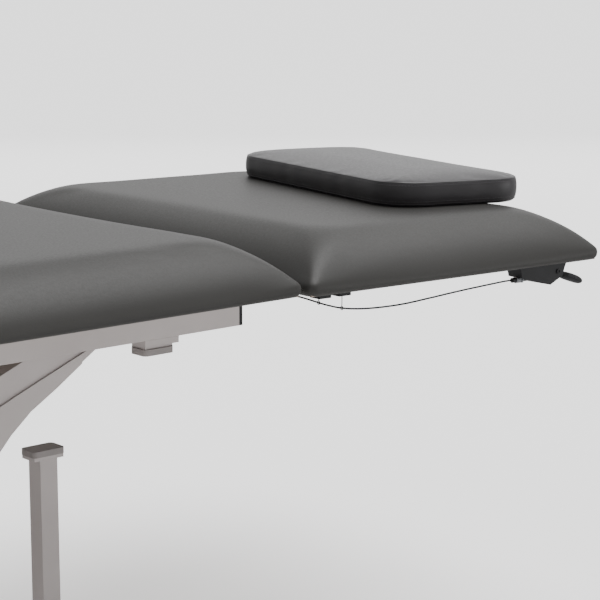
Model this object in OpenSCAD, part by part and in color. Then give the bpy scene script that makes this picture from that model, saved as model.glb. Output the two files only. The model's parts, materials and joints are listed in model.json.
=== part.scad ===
// Electric massage table: two-section top, hand pillow, curved swing-arm lift and floor frame.
// X runs along the table with the head end at +X, Y across it, Z up. Z = 0 is the floor.
// The origin is the centre of the whole outline on the floor. All sizes are in millimetres.

/* [Table top] */
// Width of the table top
table_w = 750; // [680:5:800]
// Length of the long body section
body_l = 1390; // [1330:5:1450]
// Length of the short head section
head_l = 550; // [530:5:600]
// Gap between the two upholstered sections
section_gap = 10; // [9.6:0.1:12]
// Height of the underside of the body section, in the stored pose
deck_z = 540; // [535:1:560]
// How much lower the head section's underside sits at the hinge
head_drop = 3; // [1:0.5:4]
// Downward tilt of the head section in the stored pose, degrees
head_tilt = 1.1; // [0:0.1:3]

/* [Upholstery] */
// Total thickness of a section, board and padding
pad_h = 72; // [60:1:85]
// Height of the straight edge below the rounding
edge_h = 17; // [15.5:0.5:22]
// How far the crowned edge runs in from a long side
side_run = 80; // [60:1:95]
// How far the crowned edge runs in from an end
end_run = 90; // [60:1:100]
// Radius of the upright corners
corner_r = 12; // [10:0.5:20]
// Thickness of the plywood boards
board_t = 15; // [12:0.5:15]
// How far a board lies inside the upholstery's outline
board_inset = 6; // [4:0.5:7]
// Length of the loose pillow, across the table
pillow_l = 480; // [400:5:520]
// Width of the loose pillow, along the table
pillow_w = 240; // [200:5:260]
// Thickness of the pillow at its edge
pillow_t = 37; // [30:1:50]
// Rise of the pillow's middle above its edge
pillow_crown = 4; // [2:0.5:8]
// Radius of the pillow's upright corners
pillow_r = 56; // [40:1:70]
// Rounding of the pillow's upper and lower edges
pillow_edge_r = 9; // [6:0.5:12]
// Distance from the pillow's middle to the end of the head section
pillow_inset = 98; // [90:1:160]
// Distance of the pillow's middle from the centre line, towards the near side
pillow_side = 5; // [0:1:30]
// Turn of the pillow seen from above, degrees
pillow_turn = 13; // [0:1:20]

/* [Upper frame] */
// Distance from the table's edge to a side rail's outer face
rail_inset = 70; // [60:1:80]
// Width of a side rail
rail_w = 30; // [25:1:35]
// Height of a side rail
rail_h = 40; // [36:1:46]
// Wall of the frame tubes
tube_wall = 2; // [1.5:0.5:3]
// Distance from the body section's head end to the rails' end caps
rail_end_gap = 43.4; // [38:0.2:50]
// Size of the square cross tubes of the upper frame
cross_size = 30; // [25:1:32]
// Distance from the body section's head end to the front upper pivot
front_pivot_inset = 221; // [215:1:230]
// Drop of the upper pivots below the underside of the body section
upper_pivot_drop = 22; // [20:0.5:24]

/* [Lift arms] */
// Distance between an arm's lower and upper pivots
arm_l = 700; // [680:5:720]
// Height of the lower pivots
lower_pivot_z = 110; // [108:1:125]
// Distance between the front and rear arms
arm_spacing = 520; // [500:5:540]
// Width of an arm's side beam
beam_w = 58; // [50:1:60]
// Gap between a beam's outer face and the side rail
beam_gap = 13; // [11:1:17]
// Wall of the pressed beams
beam_wall = 4; // [3:0.5:5]
// How far the arms can drop from the stored pose, degrees
arm_down = 10.3; // [9:0.1:10.5]
// Outer diameter of the lower torque tubes
torque_tube_d = 48; // [44:1:50]
// Diameter of the arms' upper cross tubes
arm_cross_d = 48; // [40:1:50]
// Diameter of the lower axles
axle_d = 24; // [20:1:25]
// Diameter of the upper pivot pins
upper_pin_d = 18; // [16:1:19]
// Wall of the pivot bushes
bush_wall = 2.5; // [2:0.5:3]

/* [Lift actuator] */
// Length of the crank that the actuator pushes
crank_r = 300; // [290:1:305]
// Angle of the crank above the floor in the stored pose, degrees
crank_angle = 80; // [78:1:84]
// Diameter of the actuator's outer tube
actuator_tube_d = 38; // [34:1:40]
// Diameter of the actuator's rod
actuator_rod_d = 22; // [18:1:24]
// Diameter of the motor
motor_d = 56; // [50:1:60]
// Length of the motor
motor_l = 118; // [100:1:130]
// Diameter of the actuator's two pins
actuator_pin_d = 14; // [12:1:16]

/* [Base] */
// Size of the square base tubes
base_tube = 40; // [35:1:42]
// Height of the underside of the base tubes
base_z = 40; // [36:1:45]
// How far a runner's outer face stands out past the beams
runner_out = 28; // [26:1:38]
// How far the runners run on past the buffer posts
runner_ahead = 70; // [60:1:90]
// Distance of the runners' rear ends behind the rear lower pivot
runner_behind = 48; // [40:1:60]
// Diameter of a foot pad
foot_d = 50; // [40:1:60]
// Distance from a beam's inner face to the middle of a buffer post
post_inset = 76; // [64:1:94]

/* [Head section] */
// Distance from the hinge axis to each end of the gas spring
spring_r = 195; // [190:1:205]
// Angle of the gas spring's body end below the hinge axis, degrees
spring_body_angle = 40; // [38:1:41]
// Angle of the gas spring's head end below the hinge axis, measured on the head section, degrees
spring_head_angle = 12.9; // [12.5:0.1:14]
// Diameter of the gas spring's cylinder
spring_d = 24; // [20:1:25]
// Diameter of the gas spring's rod
spring_rod_d = 10; // [8:1:12]
// Size of the square tubes of the head frame
head_tube = 25; // [20:1:25]
// Distance from the table's edge to the middle of a head side tube
head_tube_inset = 175; // [135:1:185]
// Diameter of the release cable
cable_d = 2.4; // [2:0.1:3]

/* [Fits] */
// Radial clearance of a pin in its bore
fit_gap = 0.05; // [0.02:0.01:0.1]
// Gap between a soft piece and what it rests on
rest_gap = 0.3; // [0.2:0.05:0.5]

/* [Hidden] */
$fn = 48;

// Finishes, as the photograph shows them
frame_grey = [0.72, 0.69, 0.67];
hide_grey = [0.34, 0.33, 0.33];
pillow_grey = [0.42, 0.41, 0.42];
plastic_black = [0.12, 0.12, 0.13];
rubber_grey = [0.42, 0.40, 0.40];
bare_steel = [0.70, 0.71, 0.73];
bronze = [0.72, 0.56, 0.32];
plywood = [0.78, 0.64, 0.45];

// One overrun serves every cut that has to leave a surface
cut = 1;

// Hinge axis between the sections, with a barrel that fits the gap
barrel_r = 4.5;
leaf_t = 4;
leaf_l = 50;
leaf_w = 60;
hinge_tube_step = 70;
hinge_pin_r = 2.5;
knuckle_l = 15;
knuckle_gap = 0.4;
web_gap = 0.3;

// Places along the table, worked out from the outline's two ends
pillow_reach = (pillow_w / 2 - pillow_r) * cos(pillow_turn)
    + (pillow_l / 2 - pillow_r) * sin(pillow_turn) + pillow_r;
pillow_run = section_gap / 2 + head_l - pillow_inset + pillow_reach;
pillow_rise = pad_h - head_drop + rest_gap + pillow_t - pillow_edge_r - barrel_r;
outline_l = body_l + section_gap / 2 + pillow_run * cos(head_tilt) + pillow_rise * sin(head_tilt);
foot_x = -outline_l / 2;
joint_x = foot_x + body_l;
head_x = joint_x + section_gap;
head_end_x = head_x + head_l;
hinge_x = joint_x + section_gap / 2;
hinge_z = deck_z + barrel_r;
head_z = deck_z - head_drop;

// Places across the table, worked in from its edge
rail_outer_y = table_w / 2 - rail_inset;
rail_inner_y = rail_outer_y - rail_w;
beam_outer_y = rail_inner_y - beam_gap;
beam_inner_y = beam_outer_y - beam_w;
runner_outer_y = beam_outer_y + runner_out;
runner_inner_y = runner_outer_y - base_tube;
post_y = beam_inner_y - post_inset;
head_tube_y = table_w / 2 - head_tube_inset;
hinge_y = head_tube_y - hinge_tube_step;

// Rounding of the upholstery: the height is a power curve of the distance from the edge
round_steps = 9;
round_power = 2;
round_root = 1.2;
corner_spread_share = 0.25;
corner_steps = 5;
pillow_corner_steps = 10;
pillow_edge_steps = 4;
pillow_crown_shares = [[0.18, 0.5], [0.4, 0.85], [0.7, 1]];

// Lift geometry: the two arms and the frame are an exact parallelogram
upper_pivot_z = deck_z - upper_pivot_drop;
front_top_x = joint_x - front_pivot_inset;
rear_top_x = front_top_x - arm_spacing;
arm_angle = asin((upper_pivot_z - lower_pivot_z) / arm_l);
front_low_x = front_top_x - arm_l * cos(arm_angle);
rear_low_x = front_low_x - arm_spacing;
low_angle = arm_angle - arm_down;

// Beam outline as shares of the arm's length: [along the chord, above the chord]
beam_low_share = 0.0386;
beam_high_share = 0.0243;
beam_top_shares = [
    [0, beam_low_share], [0.06, 0.045], [0.15, 0.06], [0.25, 0.076], [0.35, 0.09], [0.45, 0.101],
    [0.55, 0.106], [0.64, 0.103], [0.72, 0.0917], [0.788, 0.0764], [0.837, 0.0643],
    [0.94, beam_low_share], [1, beam_high_share]
];
beam_bottom_shares = [
    [1, -beam_high_share], [0.921, -0.0204], [0.859, -0.0183], [0.796, -0.0134], [0.743, -0.0179],
    [0.68, -0.0315], [0.62, -0.047], [0.55, -0.061], [0.47, -0.071], [0.38, -0.074],
    [0.28, -0.071], [0.18, -0.062], [0.08, -0.047], [0, -beam_low_share]
];
beam_low_r = arm_l * beam_low_share;
beam_high_r = arm_l * beam_high_share;
cheek_t = 4;
cheek_rise = 1.5;
crease_drop = 33;
crease_rise = 2.5;
crease_span_share = [0.06, 0.94];
arm_cross_place_share = [0.88, -0.017];
torque_wall = 4;
arm_cross_wall = 3;
low_bush_l = 40;
upper_bush_r = upper_pin_d / 2 + fit_gap + bush_wall;

// Base parts
base_top_z = base_z + base_tube;
base_wall = 2.5;
runner_x = rear_low_x - runner_behind;
cap_t = 5;
cap_plug_l = 18;
pivot_plate_t = 10;
pivot_side_gap = 1.5;
pivot_plate_y = beam_outer_y + pivot_side_gap;
pivot_plate_r = 27;
pivot_plate_foot = 45;
axle_end = 4;
foot_pad_h = 14;
stud_r = 6;
stud_rise = 12;
nut_r = 10;
nut_h = 8;
foot_from_end = 36;

// Buffer posts stand where the arm's cross tube comes down
cross_u = arm_l * arm_cross_place_share[0];
cross_v = arm_l * arm_cross_place_share[1];
buffer_l = 48;
buffer_w = 32;
buffer_t = 8;
buffer_r = 6;
post_size = 26;
post_wall = 3;
post_plate_t = 5;
post_x = front_low_x + cross_u * cos(low_angle) - cross_v * sin(low_angle);
post_top_z = lower_pivot_z + cross_u * sin(low_angle) + cross_v * cos(low_angle)
    - arm_cross_d / 2 - rest_gap - buffer_t;
runner_l = post_x + runner_ahead - runner_x;

// Actuator geometry: the crank's tip and the base pin are equally far from the lower pivot
crank_x = front_low_x + crank_r * cos(crank_angle);
crank_z = lower_pivot_z + crank_r * sin(crank_angle);
actuator_x = front_low_x + crank_r;
actuator_l = 2 * crank_r * sin(crank_angle / 2);
actuator_angle = 90 + crank_angle / 2;
shortest_actuator = 2 * crank_r * sin((crank_angle - arm_down) / 2);
crank_plate_t = 8;
crank_plate_y = 12;
crank_root_r = 36;
crank_tip_r = 16;
eye_r = 14;
eye_w = 23;
eye_neck_r = 9;
bracket_r = 18;
pin_overhang = 4;
gear_start = 24;
gear_end = 98;
gear_h = 58;
gear_near_y = -32;
gear_far_y = 84;
motor_y = 53;
motor_cap_t = 6;
motor_cap_step = 2;
rod_least_out = 40;
tube_end = shortest_actuator - rod_least_out;
actuator_wall = 3;
rod_back = 5;
rod_collar_l = 10;
tube_ring_l = 8;
slide_gap = 0.3;

// Control box on a base cross tube
control_ahead = 122;
control_x = rear_low_x + control_ahead;
control_size = [110, 150, 46];
control_wall = 3;
inlet_size = [28, 18, 20];
inlet_recess = [24, 14, 14];
blade = [2, 8, 4];
blade_pitch = 7;

// Upper frame parts
rail_z = deck_z - rail_h;
rail_foot_gap = 60;
rail_x = foot_x + rail_foot_gap;
rail_end_x = joint_x - rail_end_gap - cap_t;
cross_z = deck_z - cross_size;
spring_body_x = hinge_x - spring_r * cos(spring_body_angle);
spring_body_z = hinge_z - spring_r * sin(spring_body_angle);
cross_from_foot = 40;
cross_behind_arm = 235;
cross_ahead_arm = 255;
cross_from_joint = 71;
frame_cross_x = [
    rail_x + cross_from_foot, rear_top_x - cross_behind_arm, rear_top_x + cross_ahead_arm,
    spring_body_x, joint_x - cross_from_joint
];
upper_plate_t = 6;
upper_top_t = 4;
upper_plate_half = 30;
inner_side_gap = 4;
outer_side_gap = 1.5;
pin_back_gap = 3;
pin_inner_end = 2;
stub_from_joint = 195;
stub_from_foot = 300;
stub_l = 41;
stub_w = 27;
stub_h = 11;
stub_plate_l = 51;
stub_plate_t = 8;
pad_t = 8;
pad_over = 2;
pad_r = 6;

// Switch housing on the near rail
switch_from_foot = 170;
switch_x = rail_x + switch_from_foot;
switch_size = [84, 22, 34];
button_r = 9;
button_pitch = 40;
button_rise = 3.5;
button_depth = 10;
button_travel = 2.5;

// Gas spring, with both ends equally far from the hinge axis
spring_front_angle = spring_head_angle + head_tilt;
spring_l = 2 * spring_r * cos((spring_body_angle + spring_front_angle) / 2);
spring_slope = (spring_body_angle - spring_front_angle) / 2;
spring_head_x = hinge_x + spring_r * cos(spring_head_angle);
spring_head_z = hinge_z - spring_r * sin(spring_head_angle);
spring_eye_r = 12;
spring_eye_w = 17;
spring_pin_r = 4;
spring_lug_y = 9;
spring_lug_t = 6;
spring_lug_half = 15;
spring_start = 32;
spring_end = 237;
spring_wall = 2;
spring_cap_l = 8;
spring_rod_l = 242;
piston_l = 10;
release_r = 9;
release_w = 17;
release_h = 16;
release_l = 34;
head_lug_half = 9.5;

// Head frame
head_tube_start = 60;
head_tube_end = 40;
head_wall = 2;

// Hand lever under the near edge of the head section, measured from the head section's end
lever_inset = 71;
lever_edge = 30;
lever_y = table_w / 2 - lever_edge;
lever_pivot_drop = 13;
lever_box_l = 97;
lever_box_w = 26;
lever_box_h = 31;
lever_slot_w = 9;
lever_t = 8;
trunnion_r = 3;
lever_back_share = -0.814;
lever_profile_shares = [
    [lever_back_share, 0], [-0.763, -0.516], [-0.351, -0.871], [-0.155, -1],
    [-0.041, -0.839], [0.103, -0.645], [0.144, -0.258], [0.186, 0]
];
lever_slot_back = 22;
paddle_slope = 17;
paddle_l = 57;
paddle_w = 26;
paddle_half_shares = [
    [-0.09, 0.115], [0.246, 0.115], [0.44, 0.46], [0.7, 0.5], [0.912, 0.31], [1, 0.06]
];
paddle_t = 4;
lever_hub_r = 7;
ferrule_r = 3.5;
ferrule_l = 40;
ferrule_drop = 20;
ferrule_lead = 2;

// Release cable, from the lever to the gas spring: [from the joint, from the centre, height]
cable_sides = 8;
cable_substeps = 4;
cable_anchor_y = 20;
cable_anchor_drop = 33;
cable_anchor_back = 14;
cable_tab = [4, 16, 14];
cable_straight = 20;
cable_end_straight = 14;
cable_start_x = head_l - lever_inset + lever_box_l * lever_back_share - ferrule_lead;
cable_end_x = spring_head_x - cable_anchor_back - cable_tab[0] - head_x;
cable_route = concat(
    [[cable_start_x, -lever_y, -ferrule_drop],
     [cable_start_x - cable_straight, -lever_y, -ferrule_drop]],
    [
        [300, -lever_y, -24], [240, -lever_y, -28], [190, -lever_y, -31], [146, -lever_y, -31],
        [110, -lever_y, -29], [80, -lever_y, -25], [56, -343, -19], [42, -336, -14],
        [33, -322, -10], [29, -298, -8], [30, -255, -7], [36, -210, -7],
        [47, -165, -8], [65, -122, -10], [88, -86, -14], [112, -54, -22], [135, -32, -30]
    ],
    [[cable_end_x - cable_end_straight, -cable_anchor_y, -cable_anchor_drop],
     [cable_end_x, -cable_anchor_y, -cable_anchor_drop]]
);
clip_starts = [34, 68];
clip_l = 20;
clip_outer = 7;
clip_inner = 11;
clip_h = 8;

// Box between two opposite corners
module block(lo, hi) {
    translate(lo)
        cube(hi - lo);
}

// Cylinder along Y between two places
module bar_y(x, z, r, y0, y1) {
    translate([x, y0, z])
        rotate([-90, 0, 0])
            cylinder(r = r, h = y1 - y0);
}

// Cylinder along X between two places
module bar_x(y, z, r, x0, x1) {
    translate([x0, y, z])
        rotate([0, 90, 0])
            cylinder(r = r, h = x1 - x0);
}

// Outline in X and Z, with its thickness along Y
module slab(points, y0, y1) {
    translate([0, y1, 0])
        rotate([90, 0, 0])
            linear_extrude(y1 - y0)
                polygon(points);
}

// A piece and its mirror image across the centre line
module both_sides() {
    children();
    mirror([0, 1, 0])
        children();
}

// Square tube along X
module tube_x(x0, x1, y, z, w, h, wall) {
    difference() {
        block([x0, y, z], [x1, y + w, z + h]);
        block([x0 - cut, y + wall, z + wall], [x1 + cut, y + w - wall, z + h - wall]);
    }
}

// Square tube along Y, centred on x
module tube_y(x, z, half_l, w, h, wall) {
    difference() {
        block([x - w / 2, -half_l, z], [x + w / 2, half_l, z + h]);
        block([x - w / 2 + wall, -half_l - cut, z + wall],
              [x + w / 2 - wall, half_l + cut, z + h - wall]);
    }
}

// Flat pad with rounded upright corners
module rounded_pad(x, y, z, l, w, h, r) {
    translate([x, y, z])
        linear_extrude(h)
            union() {
                square([l - 2 * r, w], center = true);
                square([l, w - 2 * r], center = true);
                for (sx = [-1, 1], sy = [-1, 1])
                    translate([sx * (l / 2 - r), sy * (w / 2 - r)])
                        circle(r);
            }
}

// Frames of the moving pieces, in the stored pose
module arm_place(x) {
    translate([x, 0, lower_pivot_z])
        rotate([0, -arm_angle, 0])
            children();
}

module actuator_place() {
    translate([actuator_x, 0, lower_pivot_z])
        rotate([0, -actuator_angle, 0])
            children();
}

module spring_place() {
    translate([spring_body_x, 0, spring_body_z])
        rotate([0, -spring_slope, 0])
            children();
}

module head_place() {
    translate([hinge_x, 0, hinge_z])
        rotate([0, head_tilt, 0])
            translate([-hinge_x, 0, -hinge_z])
                children();
}

// Rounded rectangle of points at one height
function ring(hx, hy, r, z, steps) = [
    for (q = [0:3], s = [0:steps])
        let (a = 90 * q + 90 * s / steps,
             sx = q == 0 || q == 3 ? 1 : -1,
             sy = q < 2 ? 1 : -1)
            [sx * (hx - r) + r * cos(a), sy * (hy - r) + r * sin(a), z]
];

// Faces that join rings of n points, with flat ends
function skin_faces(rings, n) = concat(
    [for (k = [0:rings - 2], i = [0:n - 1]) each
        [[k * n + i, (k + 1) * n + i, (k + 1) * n + (i + 1) % n],
         [k * n + i, (k + 1) * n + (i + 1) % n, k * n + (i + 1) % n]]],
    [[for (i = [0:n - 1]) i]],
    [[for (i = [n - 1:-1:0]) (rings - 1) * n + i]]
);

// Solid through a list of rings, from the lowest to the highest
module skin(rings) {
    n = len(rings[0]);
    polyhedron(points = [for (r = rings) each r], faces = skin_faces(len(rings), n));
}

// Height of the upholstery at a share of the rounding's width
function pad_rise(t) = edge_h
    + (pad_h - edge_h) * pow(1 - pow(1 - t, round_power), 1 / round_root);

// Upholstered section with a crowned edge, hollow where its board sits
module cushion(x0, x1, z) {
    half_x = (x1 - x0) / 2;
    half_y = table_w / 2;
    translate([(x0 + x1) / 2, 0, z])
        difference() {
            skin(concat(
                [ring(half_x, half_y, corner_r, 0, corner_steps)],
                [for (k = [0:round_steps])
                    let (t = k / round_steps)
                        ring(half_x - end_run * t, half_y - side_run * t,
                             corner_r + corner_spread_share * side_run * t,
                             pad_rise(t), corner_steps)]
            ));
            block([board_inset - rest_gap - half_x, board_inset - rest_gap - half_y, -cut],
                  [half_x - board_inset + rest_gap, half_y - board_inset + rest_gap,
                   board_t + rest_gap]);
        }
}

module board(x0, x1, z) {
    block([x0 + board_inset, board_inset - table_w / 2, z],
          [x1 - board_inset, table_w / 2 - board_inset, z + board_t]);
}

// Capped end plug of a square tube; dir is the side of x that the plug fills
module end_cap(x, dir, y, z, w, h, wall) {
    x0 = dir > 0 ? x - cap_t : x;
    block([x0, y, z], [x0 + cap_t, y + w, z + h]);
    p0 = dir > 0 ? x : x - cap_plug_l;
    block([p0, y + wall, z + wall], [p0 + cap_plug_l, y + w - wall, z + h - wall]);
}

// Base
foot_xs = [runner_x + foot_from_end, runner_x + runner_l - foot_from_end];

module runner() {
    difference() {
        tube_x(runner_x, runner_x + runner_l, -runner_outer_y, base_z,
               base_tube, base_tube, base_wall);
        for (x = foot_xs)
            translate([x, -runner_outer_y + base_tube / 2, base_z - cut])
                cylinder(r = stud_r, h = base_wall + 2 * cut);
    }
}

module base_runner_near() {
    color(frame_grey)
        runner();
}

module base_runner_far() {
    color(frame_grey)
        mirror([0, 1, 0])
            runner();
}

module base_cross_tubes() {
    color(frame_grey)
        for (x = [rear_low_x, control_x, actuator_x, post_x])
            tube_y(x, base_z, runner_inner_y, base_tube, base_tube, base_wall);
}

module base_pivot_plates() {
    color(frame_grey)
        both_sides()
            for (x = [front_low_x, rear_low_x])
                difference() {
                    union() {
                        slab([[x - pivot_plate_foot, base_top_z], [x + pivot_plate_foot, base_top_z],
                              [x + pivot_plate_r, lower_pivot_z], [x - pivot_plate_r, lower_pivot_z]],
                             pivot_plate_y, pivot_plate_y + pivot_plate_t);
                        bar_y(x, lower_pivot_z, pivot_plate_r, pivot_plate_y,
                              pivot_plate_y + pivot_plate_t);
                    }
                    bar_y(x, lower_pivot_z, axle_d / 2, pivot_plate_y - cut,
                          pivot_plate_y + pivot_plate_t + cut);
                }
}

module buffer_posts() {
    color(frame_grey)
        both_sides() {
            translate([post_x - post_size / 2, post_y - post_size / 2, base_top_z])
                difference() {
                    cube([post_size, post_size, post_top_z - post_plate_t - base_top_z]);
                    translate([post_wall, post_wall, -cut])
                        cube([post_size - 2 * post_wall, post_size - 2 * post_wall,
                              post_top_z - post_plate_t - base_top_z + 2 * cut]);
                }
            block([post_x - buffer_l / 2 + pad_over, post_y - buffer_w / 2 + pad_over,
                   post_top_z - post_plate_t],
                  [post_x + buffer_l / 2 - pad_over, post_y + buffer_w / 2 - pad_over,
                   post_top_z]);
        }
}

module buffer_pads() {
    color(rubber_grey)
        both_sides()
            rounded_pad(post_x, post_y, post_top_z, buffer_l, buffer_w, buffer_t, buffer_r);
}

module foot_pads() {
    color(plastic_black)
        both_sides()
            for (x = foot_xs)
                translate([x, runner_outer_y - base_tube / 2, 0])
                    cylinder(d = foot_d, h = foot_pad_h);
}

module foot_studs() {
    color(bare_steel)
        both_sides()
            for (x = foot_xs)
                translate([x, runner_outer_y - base_tube / 2, 0]) {
                    translate([0, 0, foot_pad_h])
                        cylinder(r = stud_r, h = base_z + stud_rise - foot_pad_h);
                    translate([0, 0, base_z - nut_h])
                        cylinder(r = nut_r, h = nut_h);
                }
}

module runner_caps() {
    color(plastic_black)
        both_sides() {
            end_cap(runner_x, 1, -runner_outer_y, base_z, base_tube, base_tube, base_wall);
            end_cap(runner_x + runner_l, -1, -runner_outer_y, base_z,
                    base_tube, base_tube, base_wall);
        }
}

module actuator_bracket() {
    color(frame_grey)
        both_sides()
            difference() {
                union() {
                    block([actuator_x - bracket_r, crank_plate_y, base_top_z],
                          [actuator_x + bracket_r, crank_plate_y + crank_plate_t, lower_pivot_z]);
                    bar_y(actuator_x, lower_pivot_z, bracket_r, crank_plate_y,
                          crank_plate_y + crank_plate_t);
                }
                bar_y(actuator_x, lower_pivot_z, actuator_pin_d / 2, crank_plate_y - cut,
                      crank_plate_y + crank_plate_t + cut);
            }
}

module actuator_base_pin() {
    color(bare_steel)
        bar_y(actuator_x, lower_pivot_z, actuator_pin_d / 2,
              -crank_plate_y - crank_plate_t - pin_overhang,
              crank_plate_y + crank_plate_t + pin_overhang);
}

module lower_axles() {
    half_axle = pivot_plate_y + pivot_plate_t + axle_end;
    color(bare_steel)
        for (x = [front_low_x, rear_low_x])
            bar_y(x, lower_pivot_z, axle_d / 2, -half_axle, half_axle);
}

module control_box() {
    color(plastic_black)
        difference() {
            translate([control_x - control_size[0] / 2, -control_size[1] / 2, base_top_z])
                cube(control_size);
            translate([control_x - control_size[0] / 2 + control_wall,
                       -control_size[1] / 2 + inlet_size[1], base_top_z + control_wall])
                cube([control_size[0] - 2 * control_wall,
                      control_size[1] - inlet_size[1] - control_wall,
                      control_size[2] - 2 * control_wall]);
            translate([control_x - inlet_size[0] / 2, -control_size[1] / 2 - cut,
                       base_top_z + (control_size[2] - inlet_size[2]) / 2])
                cube([inlet_size[0], inlet_size[1] + cut, inlet_size[2]]);
        }
}

module mains_inlet() {
    z0 = base_top_z + (control_size[2] - inlet_size[2]) / 2;
    zc = z0 + inlet_size[2] / 2;
    y0 = -control_size[1] / 2;
    color(plastic_black) {
        difference() {
            translate([control_x - inlet_size[0] / 2, y0, z0])
                cube(inlet_size);
            translate([control_x - inlet_recess[0] / 2, y0 - cut, zc - inlet_recess[2] / 2])
                cube([inlet_recess[0], inlet_recess[1] + cut, inlet_recess[2]]);
        }
        for (i = [-1:1])
            translate([control_x + i * blade_pitch - blade[0] / 2,
                       y0 + inlet_recess[1] - blade[1], zc - blade[2] / 2])
                cube(blade);
    }
}

// Lift arms
function beam_points(rise) = concat(
    [for (s = beam_bottom_shares) [s[0] * arm_l, s[1] * arm_l + rise]],
    [for (s = beam_top_shares) [s[0] * arm_l, s[1] * arm_l - rise]]
);
function crease_points() = let (n = len(beam_bottom_shares)) concat(
    [for (k = [1:n - 2]) [beam_bottom_shares[k][0] * arm_l, beam_bottom_shares[k][1] * arm_l]],
    [for (s = beam_top_shares)
        if (s[0] >= crease_span_share[0] && s[0] <= crease_span_share[1])
            [s[0] * arm_l, max(s[1] * arm_l - crease_drop, -beam_low_r)]]
);

module beam_shape(y0, y1, rise) {
    slab(beam_points(rise), y0, y1);
    bar_y(0, 0, beam_low_r - rise, y0, y1);
    bar_y(arm_l, 0, beam_high_r - rise, y0, y1);
}

module beam() {
    arm_place(0)
        difference() {
            union() {
                beam_shape(-beam_outer_y + crease_rise, -beam_inner_y, 0);
                slab(crease_points(), -beam_outer_y, -beam_outer_y + crease_rise + cheek_rise);
            }
            slab(beam_points(beam_wall), -beam_outer_y + crease_rise + cheek_t,
                 -beam_inner_y - cheek_t);
            bar_y(0, 0, torque_tube_d / 2, -beam_outer_y - cut, -beam_inner_y + cut);
            bar_y(arm_l, 0, upper_bush_r, -beam_outer_y - cut, -beam_inner_y + cut);
        }
}

module torque_tube() {
    arm_place(0)
        difference() {
            bar_y(0, 0, torque_tube_d / 2, -beam_outer_y, beam_outer_y);
            bar_y(0, 0, torque_tube_d / 2 - torque_wall, -beam_outer_y - cut, beam_outer_y + cut);
        }
}

module arm_cross_tube() {
    arm_place(0)
        difference() {
            bar_y(cross_u, cross_v, arm_cross_d / 2, -beam_inner_y, beam_inner_y);
            bar_y(cross_u, cross_v, arm_cross_d / 2 - arm_cross_wall,
                  -beam_inner_y - cut, beam_inner_y + cut);
        }
}

module arm_bushes() {
    arm_place(0)
        both_sides() {
            difference() {
                bar_y(0, 0, torque_tube_d / 2 - torque_wall,
                      beam_outer_y - low_bush_l, beam_outer_y);
                bar_y(0, 0, axle_d / 2 + fit_gap, beam_outer_y - low_bush_l - cut,
                      beam_outer_y + cut);
            }
            difference() {
                bar_y(arm_l, 0, upper_bush_r, beam_inner_y, beam_outer_y - crease_rise);
                bar_y(arm_l, 0, upper_pin_d / 2 + fit_gap, beam_inner_y - cut,
                      beam_outer_y + cut);
            }
        }
}

module front_beam_near() {
    color(frame_grey)
        translate([front_low_x, 0, 0])
            beam();
}

module front_beam_far() {
    color(frame_grey)
        translate([front_low_x, 0, 0])
            mirror([0, 1, 0])
                beam();
}

module front_torque_tube() {
    color(frame_grey)
        translate([front_low_x, 0, 0])
            torque_tube();
}

module front_cross_tube() {
    color(frame_grey)
        translate([front_low_x, 0, 0])
            arm_cross_tube();
}

module front_bushes() {
    color(bronze)
        translate([front_low_x, 0, 0])
            arm_bushes();
}

module rear_beam_near() {
    color(frame_grey)
        translate([rear_low_x, 0, 0])
            beam();
}

module rear_beam_far() {
    color(frame_grey)
        translate([rear_low_x, 0, 0])
            mirror([0, 1, 0])
                beam();
}

module rear_torque_tube() {
    color(frame_grey)
        translate([rear_low_x, 0, 0])
            torque_tube();
}

module rear_cross_tube() {
    color(frame_grey)
        translate([rear_low_x, 0, 0])
            arm_cross_tube();
}

module rear_bushes() {
    color(bronze)
        translate([rear_low_x, 0, 0])
            arm_bushes();
}

module lift_crank() {
    color(frame_grey)
        translate([front_low_x, 0, lower_pivot_z])
            rotate([0, -crank_angle, 0])
                both_sides()
                    difference() {
                        union() {
                            slab([[0, -crank_root_r], [crank_r, -crank_tip_r],
                                  [crank_r, crank_tip_r], [0, crank_root_r]],
                                 crank_plate_y, crank_plate_y + crank_plate_t);
                            bar_y(0, 0, crank_root_r, crank_plate_y,
                                  crank_plate_y + crank_plate_t);
                            bar_y(crank_r, 0, crank_tip_r, crank_plate_y,
                                  crank_plate_y + crank_plate_t);
                        }
                        bar_y(0, 0, torque_tube_d / 2, crank_plate_y - cut,
                              crank_plate_y + crank_plate_t + cut);
                        bar_y(crank_r, 0, actuator_pin_d / 2, crank_plate_y - cut,
                              crank_plate_y + crank_plate_t + cut);
                    }
}

module crank_pin() {
    color(bare_steel)
        bar_y(crank_x, crank_z, actuator_pin_d / 2,
              -crank_plate_y - crank_plate_t - pin_overhang,
              crank_plate_y + crank_plate_t + pin_overhang);
}

// Lift actuator
module gear_housing() {
    color(plastic_black)
        actuator_place()
            difference() {
                union() {
                    block([gear_start, gear_near_y, -gear_h / 2], [gear_end, gear_far_y, gear_h / 2]);
                    bar_x(0, 0, eye_neck_r, 0, gear_start);
                    bar_y(0, 0, eye_r, -eye_w / 2, eye_w / 2);
                }
                bar_y(0, 0, actuator_pin_d / 2 + fit_gap, -eye_w / 2 - cut, eye_w / 2 + cut);
            }
}

module motor_housing() {
    color(plastic_black)
        actuator_place() {
            bar_x(motor_y, 0, motor_d / 2, gear_end, gear_end + motor_l);
            bar_x(motor_y, 0, motor_d / 2 - motor_cap_step, gear_end + motor_l,
                  gear_end + motor_l + motor_cap_t);
        }
}

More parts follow.
